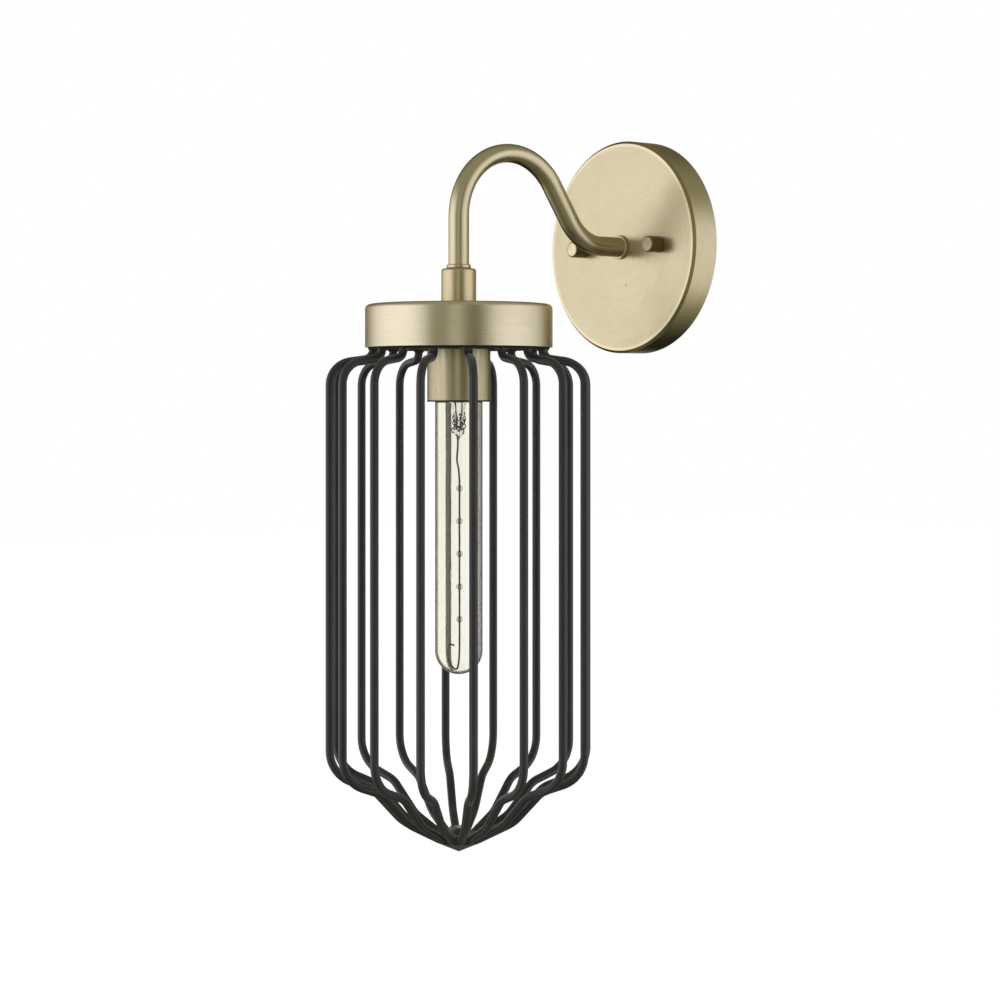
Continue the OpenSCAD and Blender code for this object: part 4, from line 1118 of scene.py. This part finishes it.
    def centre_wire(self, size, steel, button):
        """The wire through the beads, hooked below and twisted into an eye above"""
        low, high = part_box("bulb_beads")
        first, last = high[2] - size.bead_d / 2, low[2] + size.bead_d / 2
        bottom = GLASS_BOX[0][2] + size.glass_wall + 1.5 * MM
        hook = last - 15 * MM
        x = size.bead_out / MM
        line = self.curve(size, [
            (-0.6, 0, button - 3.5 * MM), (-0.6, 0, button - 9 * MM), (-1.1, 0, first + 17 * MM),
            (x - 0.6, 0, first + 12 * MM), (x - 0.1, 0, first + 6 * MM), (x, 0, first),
            (x, 0, (first + last) / 2), (x, 0, last), (x, 0, last - 18 * MM),
            (x - 0.8, 0, bottom + 2.6 * MM), (x - 2.6, 0, bottom + 0.5 * MM),
            (x - 5, 0, bottom + 3.2 * MM), (x - 6.4, 0, bottom + 8 * MM), (x - 6.5, 0, hook - 1.4 * MM),
            (x - 5.2, 0, hook), (x - 3, 0, hook - 0.6 * MM),
        ])
        rod = bmesh.new()
        skin(rod, wire_rings(soft_points(line), size.rod_d), capped=True)
        middle = AXIS + Vector((-0.6 * MM, 0, button - 4.4 * MM))
        ways = [Vector((math.cos(a), 0.25 * math.sin(2 * a), math.sin(a))) for a in circle(24)[:-1]]
        skin(rod, wire_rings([middle + MM * way for way in ways], size.hook_d), capped=True)
        piece = finish_mesh("centre_wire", rod, steel)
        settle(piece, "bulb", "dark_wire", "bulb_centre_wire")

    def fine_wires(self, size, steel, button):
        """The curled hooks round the button and the two lead-in wires"""
        fine = bmesh.new()
        for i in range(size.hook_count):
            up = button + (10.4 - 10.8 * i / (size.hook_count - 1)) * MM
            root = 2.1 if i > size.hook_count / 2 else 2.9
            reach = 3.1 + 0.35 * (i % 3)
            curl = self.curve(size, [
                (root, 0, up), (root + 0.5, 0.1, up + 0.9 * MM), (reach, 0.4, up + 1.3 * MM),
                (reach + 0.35, 0.9, up + 0.1 * MM), (reach - 0.1, 1.2, up - 1.3 * MM),
                (reach - 0.8, 0.8, up - 1.6 * MM), (reach - 0.9, 0.3, up - 0.7 * MM),
            ], i * math.radians(137.5))
            skin(fine, wire_rings(soft_points(curl, 4), size.hook_d, 8), capped=True)
        top = node_top("bulb_stem")
        for side in (-1, 1):
            lead_in = self.curve(size, [
                (side * 1.9, 0, top + 4 * MM), (side * 1.9, 0, top - 8 * MM),
                (side * 1.6, 0, button + 10 * MM), (side * 0.9, 0, button + 5 * MM),
                (side * 0.9, 0, button + 0.5 * MM),
            ])
            skin(fine, wire_rings(soft_points(lead_in, 5), size.hook_d * 1.4, 8), capped=True)
        piece = finish_mesh("fine_hooks", fine, steel)
        settle(piece, "bulb", "dark_wire", "bulb_wires")


class CAGE_OT_studio(CageLightStep, bpy.types.Operator):
    """Set up the camera, the lamps, the floor and the background"""

    bl_idname = "cage_light.studio"
    bl_label = "Studio"

    def execute(self, context):
        given = context.scene.cage_light_studio
        self.camera(context, given)
        self.lamp(context, "key", (-1.35, -1.55, 0.75), size=1.3, power=given.key)
        self.lamp(context, "fill", (1.75, -0.35, 0.15), size=1.2, power=given.fill)
        self.lamp(context, "top", (0.2, -0.5, 1.7), size=1.4, power=given.top)
        self.floor(context, given)
        self.world(context, given)
        context.scene.view_settings.view_transform = "Standard"
        return {"FINISHED"}

    def camera(self, context, given):
        data = bpy.data.cameras.new("camera")
        data.lens = given.lens
        data.sensor_width = 36
        data.shift_x = given.shift_x
        data.shift_y = given.shift_y
        data.clip_start = 0.05
        data.clip_end = 60
        camera = bpy.data.objects.new("camera", data)
        a = given.azimuth
        camera.location = (given.distance * math.sin(a), AXIS_Y - given.distance * math.cos(a), given.eye_z)
        camera.rotation_euler = (math.pi / 2, 0, a)
        context.scene.collection.objects.link(camera)
        context.scene.camera = camera

    def lamp(self, context, name, place, size, power):
        """A soft round lamp, aimed at the cage, that neither the eye nor the metal sees"""
        data = bpy.data.lights.new(name, "AREA")
        data.shape = "DISK"
        data.size = size
        data.energy = power
        lamp = bpy.data.objects.new(name, data)
        lamp.location = place
        aim = Vector((0, AXIS_Y, -0.12)) - Vector(place)
        lamp.rotation_euler = aim.to_track_quat("-Z", "Y").to_euler()
        lamp.visible_camera = False
        lamp.visible_glossy = False
        lamp.visible_transmission = False
        context.scene.collection.objects.link(lamp)

    def floor(self, context, given):
        """A pale floor that is white to the camera and still takes the light's shadow"""
        mesh = bpy.data.meshes.new("floor")
        reach = 12.0
        corners = [(-reach, -reach, 0), (reach, -reach, 0), (reach, reach, 0), (-reach, reach, 0)]
        mesh.from_pydata(corners, [], [(0, 1, 2, 3)])
        floor = bpy.data.objects.new("floor", mesh)
        floor.location.z = given.floor_z
        material = bpy.data.materials.new("Pale floor")
        material.use_nodes = True
        t = Tree(material.node_tree)
        t.tree.nodes.clear()
        tone = t.blend(t.noise(t.place(), 3.0, 3.0), (0.56, 0.56, 0.56), (0.60, 0.60, 0.60))
        matt = t.add("ShaderNodeBsdfDiffuse", {"Color": tone}).outputs[0]
        # With what the lamps give it, this glow makes the floor white
        glow = t.sum("MULTIPLY", self.to_the_eye(t), 0.74)
        lift = t.add("ShaderNodeEmission", {"Color": (1, 1, 1, 1), "Strength": glow}).outputs[0]
        both = t.add("ShaderNodeAddShader", {0: matt, 1: lift}).outputs[0]
        clear = t.add("ShaderNodeBsdfTransparent").outputs[0]
        under = t.add("ShaderNodeNewGeometry").outputs["Backfacing"]
        side = t.add("ShaderNodeMixShader", {0: under, 1: both, 2: clear}).outputs[0]
        t.add("ShaderNodeOutputMaterial", {"Surface": side})
        mesh.materials.append(material)
        context.scene.collection.objects.link(floor)
        floor.visible_glossy = False

    def to_the_eye(self, t):
        """1 for rays to the camera, also through glass, and 0 for all others"""
        ray = t.add("ShaderNodeLightPath").outputs
        return t.sum("MAXIMUM", ray["Is Camera Ray"], ray["Is Transmission Ray"])

    def world(self, context, given):
        """White to the eye and through glass. Metal mirrors two white screens in a dim, warm room"""
        world = bpy.data.worlds.new("studio")
        world.use_nodes = True
        context.scene.world = world
        t = Tree(world.node_tree)
        t.tree.nodes.clear()
        mirrored = self.mirrored(t, given)
        seen = self.to_the_eye(t)
        glossy = t.add("ShaderNodeLightPath").outputs["Is Glossy Ray"]
        shine = t.sum("MULTIPLY", glossy, t.sum("SUBTRACT", 1.0, seen))
        plain = t.sum("MULTIPLY_ADD", seen, 1.0 - given.ambient, given.ambient)
        rest = t.sum("MULTIPLY", plain, t.sum("SUBTRACT", 1.0, shine))
        strength = t.sum("MULTIPLY_ADD", mirrored, shine, rest)
        dim = t.sum("MULTIPLY", shine, t.sum("MULTIPLY_ADD", mirrored, -1.0, 1.0, clamp=True))
        tint = t.blend(dim, WHITE, WARM_DIM)
        sky = t.add("ShaderNodeBackground", {"Color": tint, "Strength": strength}).outputs[0]
        t.add("ShaderNodeOutputWorld", {"Surface": sky})

    def mirrored(self, t, given):
        """How bright the studio is that the metal mirrors, by the way it is seen"""
        way = t.add("ShaderNodeTexCoord").outputs["Generated"]
        a = given.azimuth
        ahead = t.measure("DOT_PRODUCT", way, (math.sin(a), -math.cos(a), 0.0))
        across = t.measure("DOT_PRODUCT", way, (math.cos(a), math.sin(a), 0.0))
        up = t.split(way)[2]
        bearing = t.sum("MULTIPLY_ADD", t.sum("ARCTAN2", across, ahead), 1 / math.tau, 0.5)
        round_about = t.add("ShaderNodeValToRGB", {0: bearing})
        ramp = round_about.color_ramp
        while len(ramp.elements) < len(STUDIO_ROUND):
            ramp.elements.new(0.5)
        for stop, (degrees, bright) in zip(ramp.elements, STUDIO_ROUND):
            stop.position = degrees / 360 + 0.5
            stop.color = (bright, bright, bright, 1)
        screens = t.sum("MULTIPLY", round_about.outputs[0], given.window)
        over_ground = t.ease(up, -0.44, -0.80, screens, given.ground)
        room = t.ease(up, 0.24, 0.66, over_ground, given.room)
        # Behind the light, a dark table stands below and the backdrop dims towards the ceiling
        table = t.sum("MULTIPLY", t.ease(ahead, -0.33, -0.58), t.ease(up, -0.14, -0.40))
        ceiling = t.sum("MULTIPLY", t.ease(ahead, -0.30, -0.65), t.ease(up, 0.08, 0.36))
        for mask, darker in ((table, 0.92), (ceiling, 0.4)):
            room = t.sum("MULTIPLY", room, t.sum("MULTIPLY_ADD", mask, -darker, 1.0))
        return room


STEPS = (
    CAGE_OT_studio, CAGE_OT_wall_plate, CAGE_OT_fittings, CAGE_OT_cap_nuts, CAGE_OT_arm, CAGE_OT_cap,
    CAGE_OT_lampholder, CAGE_OT_cage, CAGE_OT_bulb,
)


class CAGE_PT_panel(bpy.types.Panel):
    """The light's steps and sizes"""

    bl_idname = "CAGE_PT_panel"
    bl_label = "Cage Wall Light"
    bl_space_type = "VIEW_3D"
    bl_region_type = "UI"
    bl_category = "Cage Light"

    def draw(self, context):
        for step in STEPS:
            self.layout.operator(step.bl_idname)
        for name, group in GROUPS.items():
            box = self.layout.box()
            box.label(text=group.__doc__)
            for key in group.__annotations__:
                box.prop(getattr(context.scene, name), key)


CLASSES = (*GROUPS.values(), *STEPS, CAGE_PT_panel)


def register():
    for item in CLASSES:
        bpy.utils.register_class(item)
    for name, group in GROUPS.items():
        setattr(bpy.types.Scene, name, PointerProperty(type=group))


def unregister():
    for name in GROUPS:
        delattr(bpy.types.Scene, name)
    for item in reversed(CLASSES):
        bpy.utils.unregister_class(item)


def main():
    register()
    for step in STEPS:
        section, name = step.bl_idname.split(".")
        getattr(getattr(bpy.ops, section), name)()


if __name__ == "__main__":
    main()
